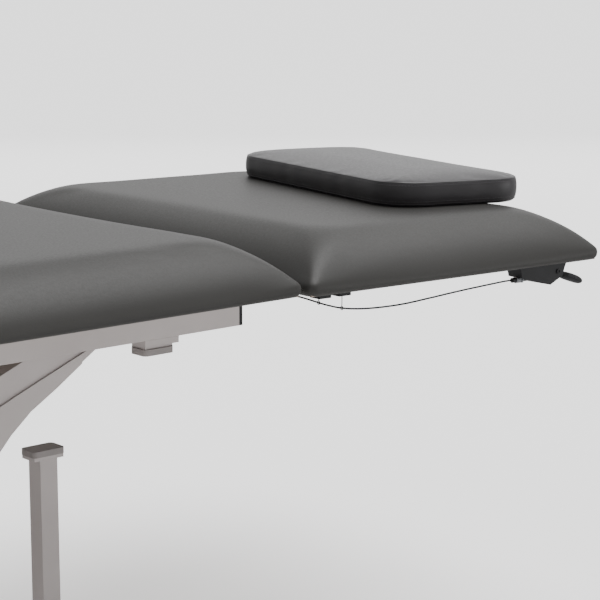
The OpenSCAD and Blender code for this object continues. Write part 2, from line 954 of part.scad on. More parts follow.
module actuator_tube() {
    color(bare_steel)
        actuator_place()
            difference() {
                bar_x(0, 0, actuator_tube_d / 2, gear_end, tube_end);
                bar_x(0, 0, actuator_tube_d / 2 - actuator_wall, gear_end - cut,
                      tube_end - tube_ring_l);
                bar_x(0, 0, actuator_rod_d / 2 + slide_gap, tube_end - tube_ring_l - cut,
                      tube_end + cut);
            }
}

module actuator_rod() {
    back = actuator_l - (shortest_actuator - gear_end - rod_back);
    color(bare_steel)
        actuator_place()
            difference() {
                union() {
                    bar_x(0, 0, actuator_rod_d / 2, back, actuator_l - eye_r);
                    bar_x(0, 0, actuator_tube_d / 2 - actuator_wall - slide_gap, back,
                          back + rod_collar_l);
                    bar_x(0, 0, eye_neck_r, actuator_l - eye_r - cut, actuator_l);
                    bar_y(actuator_l, 0, eye_r, -eye_w / 2, eye_w / 2);
                }
                bar_y(actuator_l, 0, actuator_pin_d / 2 + fit_gap, -eye_w / 2 - cut,
                      eye_w / 2 + cut);
            }
}

// Upper frame
module rail() {
    tube_x(rail_x, rail_end_x, -rail_outer_y, rail_z, rail_w, rail_h, tube_wall);
}

module side_rail_near() {
    color(frame_grey)
        rail();
}

module side_rail_far() {
    color(frame_grey)
        mirror([0, 1, 0])
            rail();
}

module rail_caps() {
    color(plastic_black)
        both_sides() {
            end_cap(rail_x, 1, -rail_outer_y, rail_z, rail_w, rail_h, tube_wall);
            end_cap(rail_end_x, -1, -rail_outer_y, rail_z, rail_w, rail_h, tube_wall);
        }
}

module frame_cross_tubes() {
    color(frame_grey)
        for (x = frame_cross_x)
            tube_y(x, cross_z, rail_inner_y, cross_size, cross_size, tube_wall);
}

module upper_pivot_plates() {
    outer = beam_outer_y + outer_side_gap;
    inner = beam_inner_y - inner_side_gap;
    z0 = upper_pivot_z - upper_pin_d;
    color(frame_grey)
        both_sides()
            for (x = [front_top_x, rear_top_x])
                difference() {
                    union() {
                        block([x - upper_plate_half, inner - upper_plate_t, deck_z - upper_top_t],
                              [x + upper_plate_half, rail_inner_y, deck_z]);
                        block([x - upper_plate_half, outer, z0],
                              [x + upper_plate_half, rail_inner_y, deck_z]);
                        block([x - upper_plate_half, inner - upper_plate_t, z0],
                              [x + upper_plate_half, inner, deck_z]);
                    }
                    bar_y(x, upper_pivot_z, upper_pin_d / 2, inner - upper_plate_t - cut,
                          rail_inner_y + cut);
                }
}

module upper_pivot_pins() {
    color(bare_steel)
        both_sides()
            for (x = [front_top_x, rear_top_x])
                bar_y(x, upper_pivot_z, upper_pin_d / 2,
                      beam_inner_y - inner_side_gap - upper_plate_t - pin_inner_end,
                      rail_inner_y - pin_back_gap);
}

stub_xs = [joint_x - stub_from_joint, rail_x + stub_from_foot];

module rail_stubs() {
    color(frame_grey)
        both_sides()
            for (x = stub_xs) {
                block([x, rail_outer_y - stub_w, rail_z - stub_plate_t],
                      [x + stub_plate_l, rail_outer_y, rail_z]);
                block([x, rail_outer_y - stub_w, rail_z - stub_h],
                      [x + stub_l, rail_outer_y, rail_z - stub_plate_t]);
            }
}

module rail_pads() {
    color(rubber_grey)
        both_sides()
            for (x = stub_xs)
                rounded_pad(x + stub_l / 2, rail_outer_y - stub_w / 2, rail_z - stub_h - pad_t,
                            stub_l + 2 * pad_over, stub_w + 2 * pad_over, pad_t, pad_r);
}

module body_board() {
    color(plywood)
        board(foot_x, joint_x, deck_z);
}

module body_cushion() {
    color(hide_grey)
        cushion(foot_x, joint_x, deck_z);
}

module spring_body_bracket() {
    color(frame_grey) {
        both_sides()
            difference() {
                union() {
                    slab([[spring_body_x - spring_eye_r, spring_body_z],
                          [spring_body_x + spring_eye_r, spring_body_z],
                          [spring_body_x + spring_lug_half, cross_z],
                          [spring_body_x - spring_lug_half, cross_z]],
                         spring_lug_y, spring_lug_y + spring_lug_t);
                    bar_y(spring_body_x, spring_body_z, spring_eye_r, spring_lug_y,
                          spring_lug_y + spring_lug_t);
                }
                bar_y(spring_body_x, spring_body_z, spring_pin_r, spring_lug_y - cut,
                      spring_lug_y + spring_lug_t + cut);
            }
    }
}

// Leaf with its knuckles for one hinge; dir is the side of the hinge that the leaf lies on
module hinge_leaf(dir, x_edge, z, spans, bore_r) {
    lo = min(x_edge, x_edge + dir * leaf_l);
    block([lo, hinge_y - leaf_w / 2, z - leaf_t], [lo + leaf_l, hinge_y + leaf_w / 2, z]);
    web_x = x_edge - dir * web_gap;
    for (s = spans)
        difference() {
            union() {
                block([min(hinge_x, x_edge), s[0], z - leaf_t],
                      [max(hinge_x, x_edge), s[1], z]);
                block([min(hinge_x, web_x), s[0], z], [max(hinge_x, web_x), s[1], hinge_z]);
                bar_y(hinge_x, hinge_z, barrel_r, s[0], s[1]);
            }
            bar_y(hinge_x, hinge_z, bore_r, s[0] - cut, s[1] + cut);
        }
}

module body_hinge_leaves() {
    y0 = hinge_y - leaf_w / 2;
    y1 = hinge_y + leaf_w / 2;
    color(bare_steel)
        both_sides()
            hinge_leaf(-1, joint_x, deck_z, [[y0, y0 + knuckle_l], [y1 - knuckle_l, y1]],
                       hinge_pin_r);
}

module hinge_pins() {
    color(bare_steel) {
        both_sides()
            bar_y(hinge_x, hinge_z, hinge_pin_r, hinge_y - leaf_w / 2, hinge_y + leaf_w / 2);
        bar_y(spring_body_x, spring_body_z, spring_pin_r, -spring_lug_y - spring_lug_t,
              spring_lug_y + spring_lug_t);
    }
}

module switch_housing() {
    z0 = rail_z + (rail_h - switch_size[2]) / 2;
    zc = rail_z + rail_h / 2;
    color(plastic_black)
        difference() {
            translate([switch_x, -rail_outer_y - switch_size[1], z0])
                cube(switch_size);
            for (i = [-1, 1])
                bar_y(switch_x + switch_size[0] / 2 + i * button_pitch / 2, zc,
                      button_r + fit_gap, -rail_outer_y - switch_size[1] - cut,
                      -rail_outer_y - switch_size[1] + button_depth + button_travel + slide_gap);
        }
}

module button(i) {
    bar_y(switch_x + switch_size[0] / 2 + i * button_pitch / 2, rail_z + rail_h / 2, button_r,
          -rail_outer_y - switch_size[1] - button_rise,
          -rail_outer_y - switch_size[1] + button_depth);
}

module button_up() {
    color(rubber_grey)
        button(1);
}

module button_down() {
    color(rubber_grey)
        button(-1);
}

// Gas spring of the head section
module gas_cylinder() {
    color(plastic_black)
        spring_place()
            difference() {
                union() {
                    bar_x(0, 0, spring_d / 2, spring_start, spring_end);
                    bar_x(0, 0, spring_eye_w / 2, 0, spring_start);
                    bar_y(0, 0, spring_eye_r, -spring_eye_w / 2, spring_eye_w / 2);
                }
                bar_y(0, 0, spring_pin_r + fit_gap, -spring_eye_w / 2 - cut,
                      spring_eye_w / 2 + cut);
                bar_x(0, 0, spring_d / 2 - spring_wall, spring_start + spring_cap_l,
                      spring_end - spring_cap_l);
                bar_x(0, 0, spring_rod_d / 2 + slide_gap, spring_end - spring_cap_l - cut,
                      spring_end + cut);
            }
}

module gas_rod() {
    back = spring_l - spring_rod_l;
    color(bare_steel)
        spring_place() {
            bar_x(0, 0, spring_rod_d / 2, back, spring_l - release_l);
            bar_x(0, 0, spring_d / 2 - spring_wall - slide_gap, back, back + piston_l);
        }
}

module release_head() {
    color(bare_steel)
        spring_place()
            difference() {
                union() {
                    block([spring_l - release_l, -release_w / 2, -release_h / 2],
                          [spring_l, release_w / 2, release_h / 2]);
                    bar_y(spring_l, 0, release_r, -release_w / 2, release_w / 2);
                }
                bar_y(spring_l, 0, spring_pin_r + fit_gap, -release_w / 2 - cut,
                      release_w / 2 + cut);
            }
}

// Head section
module head_side_tubes() {
    color(frame_grey)
        head_place()
            both_sides()
                tube_x(head_x + head_tube_start, head_end_x - head_tube_end,
                       head_tube_y - head_tube / 2, head_z - head_tube,
                       head_tube, head_tube, head_wall);
}

module head_cross_tubes() {
    color(frame_grey)
        head_place()
            for (x = [spring_head_x, head_end_x - head_tube_end - head_tube / 2])
                tube_y(x, head_z - head_tube, head_tube_y - head_tube / 2,
                       head_tube, head_tube, head_wall);
}

module head_board() {
    color(plywood)
        head_place()
            board(head_x, head_end_x, head_z);
}

module head_cushion() {
    color(hide_grey)
        head_place()
            cushion(head_x, head_end_x, head_z);
}

module head_hinge_leaves() {
    y0 = hinge_y - leaf_w / 2 + knuckle_l + knuckle_gap;
    y1 = hinge_y + leaf_w / 2 - knuckle_l - knuckle_gap;
    color(bare_steel)
        head_place()
            both_sides()
                hinge_leaf(1, head_x, head_z, [[y0, y1]], hinge_pin_r + fit_gap);
}

module spring_head_bracket() {
    tube_bottom = head_z - head_tube;
    tab_x = spring_head_x - cable_anchor_back - cable_tab[0];
    lug_outer = spring_lug_y + spring_lug_t;
    color(frame_grey)
        head_place() {
            both_sides() {
                block([spring_head_x - head_lug_half, spring_lug_y, spring_head_z],
                      [spring_head_x + head_lug_half, lug_outer, tube_bottom]);
                bar_y(spring_head_x, spring_head_z, head_lug_half, spring_lug_y, lug_outer);
            }
            bar_y(spring_head_x, spring_head_z, spring_pin_r, -spring_lug_y, spring_lug_y);
            block([tab_x, -lug_outer - cable_tab[1], tube_bottom - cable_tab[2]],
                  [spring_head_x, -lug_outer, tube_bottom]);
        }
}

lever_x = head_end_x - lever_inset;
lever_z = head_z - lever_pivot_drop;

module lever_housing() {
    color(plastic_black)
        head_place()
            difference() {
                union() {
                    slab([for (p = lever_profile_shares)
                              [lever_x + lever_box_l * p[0], head_z + lever_box_h * p[1]]],
                         -lever_y - lever_box_w / 2, -lever_y + lever_box_w / 2);
                    bar_x(-lever_y, head_z - ferrule_drop, ferrule_r,
                          head_x + cable_start_x, head_x + cable_start_x + ferrule_l);
                }
                block([lever_x - lever_slot_back, -lever_y - lever_slot_w / 2,
                       head_z - lever_box_w - lever_pivot_drop],
                      [lever_x + lever_box_w, -lever_y + lever_slot_w / 2, head_z - leaf_t]);
                bar_y(lever_x, lever_z, trunnion_r + fit_gap, -lever_y - lever_box_w,
                      -lever_y + lever_box_w);
            }
}

function paddle_plan() = let (n = len(paddle_half_shares)) concat(
    [for (p = paddle_half_shares) [p[0] * paddle_l, -p[1] * paddle_w]],
    [for (k = [n - 1:-1:0])
        [paddle_half_shares[k][0] * paddle_l, paddle_half_shares[k][1] * paddle_w]]
);

module release_lever() {
    color(plastic_black)
        head_place()
            translate([lever_x, -lever_y, lever_z]) {
                bar_y(0, 0, lever_hub_r, -lever_t / 2, lever_t / 2);
                bar_y(0, 0, trunnion_r, -lever_box_w / 2, lever_box_w / 2);
                rotate([0, paddle_slope, 0])
                    translate([0, 0, -paddle_t / 2])
                        linear_extrude(paddle_t)
                            polygon(paddle_plan());
            }
}

// Curve through the route's points
function route_at(p, i, t) =
    let (a = p[max(i - 1, 0)], b = p[i], c = p[i + 1], d = p[min(i + 2, len(p) - 1)])
        (2 * b + (c - a) * t + (2 * a - 5 * b + 4 * c - d) * t * t
         + (3 * b - a - 3 * c + d) * t * t * t) / 2;
function unit(v) = v / norm(v);
cable_points = concat(
    [for (i = [0:len(cable_route) - 2], s = [0:cable_substeps - 1])
        route_at(cable_route, i, s / cable_substeps)],
    [cable_route[len(cable_route) - 1]]
);
cable_last = len(cable_points) - 1;
function cable_way(i) = i == 0 || i == cable_last ? [i == 0 ? -1 : 1, 0, 0]
    : unit(cable_points[i + 1] - cable_points[i - 1]);

module release_cable() {
    rings = [for (i = [0:cable_last])
        let (w = cable_way(i), u = unit(cross(w, [0, 0, 1])), v = cross(u, w))
            [for (k = [0:cable_sides - 1])
                let (a = 360 * k / cable_sides)
                    cable_points[i] + cable_d / 2 * (cos(a) * u + sin(a) * v)]];
    color(plastic_black)
        head_place()
            translate([head_x, 0, head_z])
                skin(rings);
}

module cable_clips() {
    color(plastic_black)
        head_place()
            for (x = clip_starts)
                block([head_x + x, -lever_y - clip_outer, head_z - clip_h],
                      [head_x + x + clip_l, clip_inner - lever_y, head_z]);
}

// Loose pillow with a crowned top and rounded edges
module pillow() {
    hx = pillow_w / 2;
    hy = pillow_l / 2;
    e = pillow_edge_r;
    lower = [for (s = [0:pillow_edge_steps])
        let (a = 90 * s / pillow_edge_steps)
            [e * (1 - sin(a)), e * (1 - cos(a))]];
    upper = [for (s = [0:pillow_edge_steps])
        let (a = 90 * s / pillow_edge_steps)
            [e * (1 - cos(a)), pillow_t - e + e * sin(a)]];
    crown = [for (s = pillow_crown_shares)
        [e + (hx - e) * s[0], pillow_t + pillow_crown * s[1]]];
    color(pillow_grey)
        head_place()
            translate([head_end_x - pillow_inset, -pillow_side, head_z + pad_h + rest_gap])
                rotate([0, 0, -pillow_turn])
                    skin([for (p = concat(lower, upper, crown))
                        ring(hx - p[0], hy - p[0], max(pillow_r - p[0], e * corner_spread_share),
                             p[1], pillow_corner_steps)]);
}

// Every sub-part, drawn alone or together
base_runner_near();
base_runner_far();
base_cross_tubes();
base_pivot_plates();
buffer_posts();
buffer_pads();
foot_pads();
foot_studs();
runner_caps();
actuator_bracket();
actuator_base_pin();
lower_axles();
control_box();
mains_inlet();
front_beam_near();
front_beam_far();
front_torque_tube();
front_cross_tube();
lift_crank();
crank_pin();
front_bushes();
rear_beam_near();
rear_beam_far();
rear_torque_tube();
rear_cross_tube();
rear_bushes();
gear_housing();
motor_housing();
actuator_tube();
actuator_rod();
side_rail_near();
side_rail_far();
rail_caps();
frame_cross_tubes();
upper_pivot_plates();
upper_pivot_pins();
rail_stubs();
rail_pads();
body_board();
body_cushion();
spring_body_bracket();
body_hinge_leaves();
hinge_pins();
switch_housing();
button_up();
button_down();
gas_cylinder();
gas_rod();
release_head();
head_side_tubes();
head_cross_tubes();
head_board();
head_cushion();
head_hinge_leaves();
spring_head_bracket();
lever_housing();
release_lever();
release_cable();
cable_clips();
pillow();
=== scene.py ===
"""Electric massage table: finishes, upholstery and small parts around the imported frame."""

from __future__ import annotations

import json
import logging
import math
import random
from dataclasses import dataclass, field
from enum import Enum
from typing import Callable, Iterable, Sequence

import bmesh
import bpy
from mathutils import Matrix, Vector


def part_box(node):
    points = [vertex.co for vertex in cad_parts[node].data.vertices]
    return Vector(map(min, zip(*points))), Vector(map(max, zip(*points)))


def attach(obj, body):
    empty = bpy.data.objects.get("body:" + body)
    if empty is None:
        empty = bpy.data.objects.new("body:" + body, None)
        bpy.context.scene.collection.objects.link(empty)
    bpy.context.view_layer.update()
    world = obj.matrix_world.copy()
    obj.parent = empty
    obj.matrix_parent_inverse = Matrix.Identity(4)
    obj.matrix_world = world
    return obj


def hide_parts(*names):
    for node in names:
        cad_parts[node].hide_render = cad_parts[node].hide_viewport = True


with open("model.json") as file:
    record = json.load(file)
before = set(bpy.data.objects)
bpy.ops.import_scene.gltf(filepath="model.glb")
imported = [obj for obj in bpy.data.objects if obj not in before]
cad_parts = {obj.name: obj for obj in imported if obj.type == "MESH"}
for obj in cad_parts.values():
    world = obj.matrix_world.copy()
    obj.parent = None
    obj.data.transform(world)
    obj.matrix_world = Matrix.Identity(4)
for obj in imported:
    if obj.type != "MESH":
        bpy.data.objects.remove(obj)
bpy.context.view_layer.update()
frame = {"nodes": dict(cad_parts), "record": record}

LOG = logging.getLogger("massage_table")
NODES = frame["nodes"]
MM = 0.001
BOTH = (-1, 1)
EDGE_ANGLE = 30.0
SMOOTH_ANGLE = 35.0
WIRE_STEPS = 2
HOOP_STEPS = 40
WHITE = (1.0, 1.0, 1.0, 1.0)


# Small helpers

def linear(colour: Sequence[float]) -> tuple[float, float, float, float]:
    """Turn a screen colour into the linear one that shaders take.

    Args:
        colour: Red, green and blue from 0 to 255.

    Returns:
        Linear red, green, blue and an alpha of 1.
    """
    low, cut, gain, power = 12.92, 0.04045, 1.055, 2.4
    out = [c / 255 / low if c / 255 <= cut else ((c / 255 + gain - 1) / gain) ** power
           for c in colour]
    return out[0], out[1], out[2], 1.0


def only(obj: bpy.types.Object) -> bpy.types.Object:
    """Select one object alone and make it active.

    Args:
        obj: The object that the next operator works on.

    Returns:
        The same object.
    """
    bpy.ops.object.select_all(action="DESELECT")
    obj.select_set(True)
    bpy.context.view_layer.objects.active = obj
    return obj


def placed(name: str, data: bpy.types.ID) -> bpy.types.Object:
    """Put a mesh, a curve, a light or a camera into the scene.

    Args:
        name: The new object's name.
        data: What it shows.

    Returns:
        The new object.
    """
    obj = bpy.data.objects.new(name, data)
    bpy.context.scene.collection.objects.link(obj)
    return obj


def start(name: str, kind: Callable[..., object], **sizes: object) -> bpy.types.Object:
    """Add a primitive on its own, ready to be shaped.

    Args:
        name: The new object's name.
        kind: The operator that adds it.
        **sizes: The operator's settings.

    Returns:
        The new object.
    """
    bpy.ops.object.select_all(action="DESELECT")
    kind(**sizes)
    obj = bpy.context.active_object
    obj.name = name
    return obj


def block(name: str, size: Sequence[float],
          centre: Sequence[float] = (0, 0, 0)) -> bpy.types.Object:
    """Add a block in millimetres.

    Args:
        name: The new object's name.
        size: Its size along X, Y and Z.
        centre: Its middle.

    Returns:
        The block, with its size and place in its mesh.
    """
    obj = start(name, bpy.ops.mesh.primitive_cube_add, size=1.0,
                location=tuple(Vector(centre) * MM))
    obj.scale = Vector(size) * MM
    only(obj)
    bpy.ops.object.transform_apply(location=True, rotation=True, scale=True)
    return obj


def bar(name: str, radius: float, depth: float, sides: int,
        centre: Sequence[float] = (0, 0, 0)) -> bpy.types.Object:
    """Add an upright cylinder or prism in millimetres.

    Args:
        name: The new object's name.
        radius: Its radius at the corners.
        depth: Its height.
        sides: Number of sides.
        centre: Its middle.

    Returns:
        The bar.
    """
    return start(name, bpy.ops.mesh.primitive_cylinder_add, vertices=sides,
                 radius=radius * MM, depth=depth * MM, location=tuple(Vector(centre) * MM))


def pick_faces(obj: bpy.types.Object, test: Callable[[bpy.types.MeshPolygon], bool]) -> None:
    """Enter edit mode with the faces selected that pass a test.

    Args:
        obj: The object to edit.
        test: Says whether a face is selected.
    """
    only(obj)
    bpy.context.tool_settings.mesh_select_mode = (False, False, True)
    bpy.ops.object.mode_set(mode="EDIT")
    bpy.ops.mesh.select_all(action="DESELECT")
    bpy.ops.object.mode_set(mode="OBJECT")
    for face in obj.data.polygons:
        face.select = test(face)
    bpy.ops.object.mode_set(mode="EDIT")


def facing_up(face: bpy.types.MeshPolygon) -> bool:
    """Whether a face looks straight up."""
    return face.normal.z > 0.9


def leave_edit() -> None:
    """Go back to object mode."""
    bpy.ops.object.mode_set(mode="OBJECT")


def inset(thickness: float, depth: float = 0.0) -> None:
    """Inset the selected faces by millimetres, and raise or sink them."""
    bpy.ops.mesh.inset(thickness=thickness * MM, depth=depth * MM)


def extrude(shift: Sequence[float]) -> None:
    """Extrude the selected faces by a shift in millimetres."""
    bpy.ops.mesh.extrude_region_move(
        TRANSFORM_OT_translate={"value": tuple(Vector(shift) * MM)})


def apply_modifier(obj: bpy.types.Object, name: str) -> None:
    """Apply one modifier of an object by name."""
    only(obj)
    bpy.ops.object.modifier_apply(modifier=name)


def modify(obj: bpy.types.Object, kind: str, **settings: object) -> bpy.types.Object:
    """Add one modifier to a piece and apply it.

    Args:
        obj: The piece.
        kind: The modifier's type.
        **settings: The modifier's settings.

    Returns:
        The same piece.
    """
    made = obj.modifiers.new(kind, kind)
    for key, value in settings.items():
        setattr(made, key, value)
    apply_modifier(obj, kind)
    return obj


def round_off(obj: bpy.types.Object, width: float, segments: int = 2) -> bpy.types.Object:
    """Round the sharp edges of a piece.

    Args:
        obj: The piece.
        width: Width of the rounding in millimetres.
        segments: Steps in the rounding.

    Returns:
        The same piece.
    """
    return modify(obj, "BEVEL", width=width * MM, segments=segments, limit_method="ANGLE",
                  angle_limit=math.radians(EDGE_ANGLE))


def settle(obj: bpy.types.Object, angle: float = SMOOTH_ANGLE) -> bpy.types.Object:
    """Put a finished piece's place into its mesh and smooth its faces.

    Args:
        obj: The piece, wherever it was modelled.
        angle: Edges sharper than this many degrees stay sharp.

    Returns:
        The same piece, with its object at the origin.
    """
    only(obj)
    bpy.ops.object.transform_apply(location=True, rotation=True, scale=True)
    bpy.ops.object.shade_smooth_by_angle(angle=math.radians(angle))
    return obj


def join(name: str, objs: Sequence[bpy.types.Object]) -> bpy.types.Object:
    """Join pieces into one.

    Args:
        name: The joined object's name.
        objs: The pieces, one or more.

    Returns:
        The joined object.
    """
    bpy.ops.object.select_all(action="DESELECT")
    for obj in objs:
        obj.select_set(True)
    bpy.context.view_layer.objects.active = objs[0]
    if len(objs) > 1:
        bpy.ops.object.join()
    objs[0].name = name
    return objs[0]


def gather(name: str, model: bpy.types.Object,
           places: Iterable[Matrix]) -> bpy.types.Object:
    """Copy one modelled piece to many places and join the copies.

    Args:
        name: The joined object's name.
        model: The piece, modelled at the origin; it is used up.
        places: Where each copy goes.

    Returns:
        The joined object.
    """
    copies = []
    for place in places:
        copy = model.copy()
        copy.data = model.data.copy()
        copy.data.transform(place)
        bpy.context.scene.collection.objects.link(copy)
        copies.append(copy)
    made = join(name, copies)
    bpy.data.objects.remove(model, do_unlink=True)
    return made


def at(x: float, y: float, z: float) -> Matrix:
    """Place at millimetres X, Y and Z."""
    return Matrix.Translation(Vector((x, y, z)) * MM)


def turn(degrees: float, axis: str) -> Matrix:
    """Turn by degrees about an axis."""
    return Matrix.Rotation(math.radians(degrees), 4, axis)


def aim(normal: Vector, along: Vector) -> Matrix:
    """Turn that takes Z to a normal and X to a direction across it.

    Args:
        normal: Where Z goes.
        along: Roughly where X goes.

    Returns:
        The rotation.
    """
    z = normal.normalized()
    x = (along - z * along.dot(z)).normalized()
    y = z.cross(x)
    return Matrix((x, y, z)).transposed().to_4x4()


def look_towards(obj: bpy.types.Object, way: Vector) -> None:
    """Turn a light or a camera to look along a direction."""
    obj.rotation_euler = way.to_track_quat("-Z", "Y").to_euler()


def tube(name: str, points: Sequence[Vector], radius: float,
         closed: bool = False) -> bpy.types.Object:
    """Sweep a round wire along points and turn it into a mesh.

    Args:
        name: The object's name.
        points: Points in metres.
        radius: Radius in millimetres.
        closed: Whether the last point joins the first.

    Returns:
        The wire as a mesh object.
    """
    curve = bpy.data.curves.new(name, "CURVE")
    curve.dimensions = "3D"
    curve.bevel_depth = radius * MM
    curve.bevel_resolution = WIRE_STEPS
    curve.use_fill_caps = not closed
    spline = curve.splines.new("POLY")
    spline.points.add(len(points) - 1)
    for held, point in zip(spline.points, points):
        held.co = (*point, 1.0)
    spline.use_cyclic_u = closed
    only(placed(name, curve))
    bpy.ops.object.convert(target="MESH")
    return bpy.context.active_object


def hoop(name: str, radius: float, wire: float, sides: int) -> bpy.types.Object:
    """Closed ring of round wire, around Z.

    Args:
        name: The new object's name.
        radius: Radius to the middle of the wire in millimetres.
        wire: Radius of the wire in millimetres.
        sides: Steps around the wire.

    Returns:
        The ring.
    """
    return settle(start(name, bpy.ops.mesh.primitive_torus_add, major_segments=HOOP_STEPS,
                        minor_segments=sides, major_radius=radius * MM, minor_radius=wire * MM))


# Finishes

class Shader:
    """A material under construction, with short ways to add and link nodes."""

    def __init__(self, name: str) -> None:
        """Make the material with an empty principled shader.

        Args:
            name: The material's name.
        """
        self.material = bpy.data.materials.new(name)
        self.material.use_nodes = True
        self.tree = self.material.node_tree
        self.tree.nodes.clear()
        self.surface = self.add("ShaderNodeBsdfPrincipled")
        out = self.add("ShaderNodeOutputMaterial")
        self.link(self.surface, "BSDF", out, "Surface")
        self.coords = self.add("ShaderNodeTexCoord")

    def add(self, kind: str, **values: object) -> bpy.types.Node:
        """Add a node and set its inputs.

        Args:
            kind: The node's Blender type.
            **values: Input names, with underscores for spaces, and their values.

        Returns:
            The new node.
        """
        made = self.tree.nodes.new(kind)
        for key, value in values.items():
            made.inputs[key.replace("_", " ")].default_value = value
        return made

    def link(self, a: bpy.types.Node, out: str, b: bpy.types.Node, into: str) -> None:
        """Link one node's output to another's input."""
        self.tree.links.new(a.outputs[out], b.inputs[into])

    def place(self, scale: Sequence[float] = (1, 1, 1)) -> bpy.types.Node:
        """Object coordinates in metres, stretched per axis.

        Args:
            scale: Factor along X, Y and Z.

        Returns:
            The mapping node.
        """
        made = self.add("ShaderNodeMapping", Scale=tuple(scale))
        self.link(self.coords, "Object", made, "Vector")
        return made

    def noise(self, per_metre: float, detail: float = 4.0, rough: float = 0.55,
              scale: Sequence[float] = (1, 1, 1)) -> bpy.types.Node:
        """Noise with a given number of cells in a metre.

        Args:
            per_metre: Cells in a metre.
            detail: Octaves.
            rough: Weight of the finer octaves.
            scale: Stretch per axis.

        Returns:
            The noise node.
        """
        made = self.add("ShaderNodeTexNoise", Scale=per_metre, Detail=detail, Roughness=rough)
        self.link(self.place(scale), "Vector", made, "Vector")
        return made

    def pebbles(self, per_metre: float) -> bpy.types.Node:
        """Rounded cell pattern with a given number of cells in a metre.

        Args:
            per_metre: Cells in a metre.

        Returns:
            The cell node.
        """
        made = self.add("ShaderNodeTexVoronoi", Scale=per_metre)
        made.feature = "SMOOTH_F1"
        self.link(self.place(), "Vector", made, "Vector")
        return made

    def span(self, source: bpy.types.Node, low: float, high: float, to_low: float,
             to_high: float) -> bpy.types.Node:
        """Remap a noise from one span to another.

        Args:
            source: The noise node.
            low: Value that becomes to_low.
            high: Value that becomes to_high.
            to_low: Lower result.
            to_high: Higher result.

        Returns:
            The map range node.
        """
        made = self.add("ShaderNodeMapRange", From_Min=low, From_Max=high, To_Min=to_low,
                        To_Max=to_high)
        self.link(source, "Fac", made, "Value")
        return made

    def vary(self, source: bpy.types.Node, dark: Sequence[float], light: Sequence[float],
             low: float = 0.3, high: float = 0.7) -> None:
        """Let the base colour run from dark to light with a noise.

        Args:
            source: The noise node.
            dark: Screen colour at the low value.
            light: Screen colour at the high value.
            low: Value where the colour starts to change.
            high: Value where it has changed.
        """
        made = self.add("ShaderNodeValToRGB")
        made.color_ramp.elements[0].color = linear(dark)
        made.color_ramp.elements[1].color = linear(light)
        self.link(self.span(source, low, high, 0.0, 1.0), "Result", made, "Fac")
        self.link(made, "Color", self.surface, "Base Color")

    def roughen(self, source: bpy.types.Node, to_low: float, to_high: float) -> None:
        """Let the roughness run between two values with a noise.

        Args:
            source: The noise node.
            to_low: Lower roughness.
            to_high: Higher roughness.
        """
        made = self.span(source, 0.3, 0.7, to_low, to_high)
        self.link(made, "Result", self.surface, "Roughness")

    def bump(self, source: bpy.types.Node, out: str, depth_mm: float, strength: float,
             after: bpy.types.Node | None = None) -> bpy.types.Node:
        """Bump from a height value, chained after another bump if there is one.

        Args:
            source: Node that gives the height from 0 to 1.
            out: Its output.
            depth_mm: Height of 1 in millimetres.
            strength: Share of the bump that shows.
            after: Bump that this one adds to.

        Returns:
            The bump node, already linked to the surface.
        """
        made = self.add("ShaderNodeBump", Strength=strength, Distance=depth_mm * MM)
        self.link(source, out, made, "Height")
        if after is not None:
            self.link(after, "Normal", made, "Normal")
        self.link(made, "Normal", self.surface, "Normal")
        return made

    def rounded_edges(self, radius_mm: float, samples: int = 6) -> bpy.types.Node:
        """Normals that round the sharp edges of a plain solid.

        Args:
            radius_mm: Radius of the rounding in millimetres.
            samples: Number of samples.

        Returns:
            The bevel node, already linked to the surface.
        """
        made = self.add("ShaderNodeBevel", Radius=radius_mm * MM)
        made.samples = samples
        self.link(made, "Normal", self.surface, "Normal")
        return made

    def set(self, **values: object) -> None:
        """Set values on the principled shader, with underscores for spaces."""
        for key, value in values.items():
            self.surface.inputs[key.replace("_", " ")].default_value = value


@dataclass(frozen=True)
class Finish:
    """A finish that lies between two screen colours."""

    name: str
    dark: tuple[int, int, int]
    light: tuple[int, int, int]

    def make(self) -> bpy.types.Material:
        """Build the material; every kind of finish has its own way."""
        raise NotImplementedError


@dataclass(frozen=True)
class Hide(Finish):
    """Smooth artificial leather with a fine pebbled grain."""

    roughness: float
    grain_per_metre: float
    grain_depth: float

    def make(self) -> bpy.types.Material:
        """Build the leather.

        Returns:
            The material.
        """
        s = Shader(self.name)
        s.vary(s.noise(3.0, detail=3.0), self.dark, self.light)
        crease = s.noise(self.grain_per_metre * 0.35, detail=5.0, rough=0.6)
        first = s.bump(s.pebbles(self.grain_per_metre), "Distance", self.grain_depth, 0.55)
        s.bump(crease, "Fac", self.grain_depth * 1.6, 0.35, after=first)
        s.roughen(crease, self.roughness - 0.05, self.roughness + 0.06)
        s.set(Specular_IOR_Level=0.4, Sheen_Weight=0.03, Sheen_Roughness=0.45)
        return s.material


@dataclass(frozen=True)
class PowderCoat(Finish):
    """Baked powder paint with a slight orange peel."""

    roughness: float

    def make(self) -> bpy.types.Material:
        """Build the paint.

        Returns:
            The material.
        """
        s = Shader(self.name)
        cloud = s.noise(6.0, detail=3.0)
        s.vary(cloud, self.dark, self.light)
        first = s.bump(s.noise(900.0, detail=2.0), "Fac", 0.08, 0.5,
                       after=s.rounded_edges(1.2))
        s.bump(s.noise(3200.0, detail=2.0), "Fac", 0.03, 0.5, after=first)
        s.roughen(cloud, self.roughness - 0.03, self.roughness + 0.05)
        s.set(Specular_IOR_Level=0.5, Coat_Weight=0.1, Coat_Roughness=0.3)
        return s.material


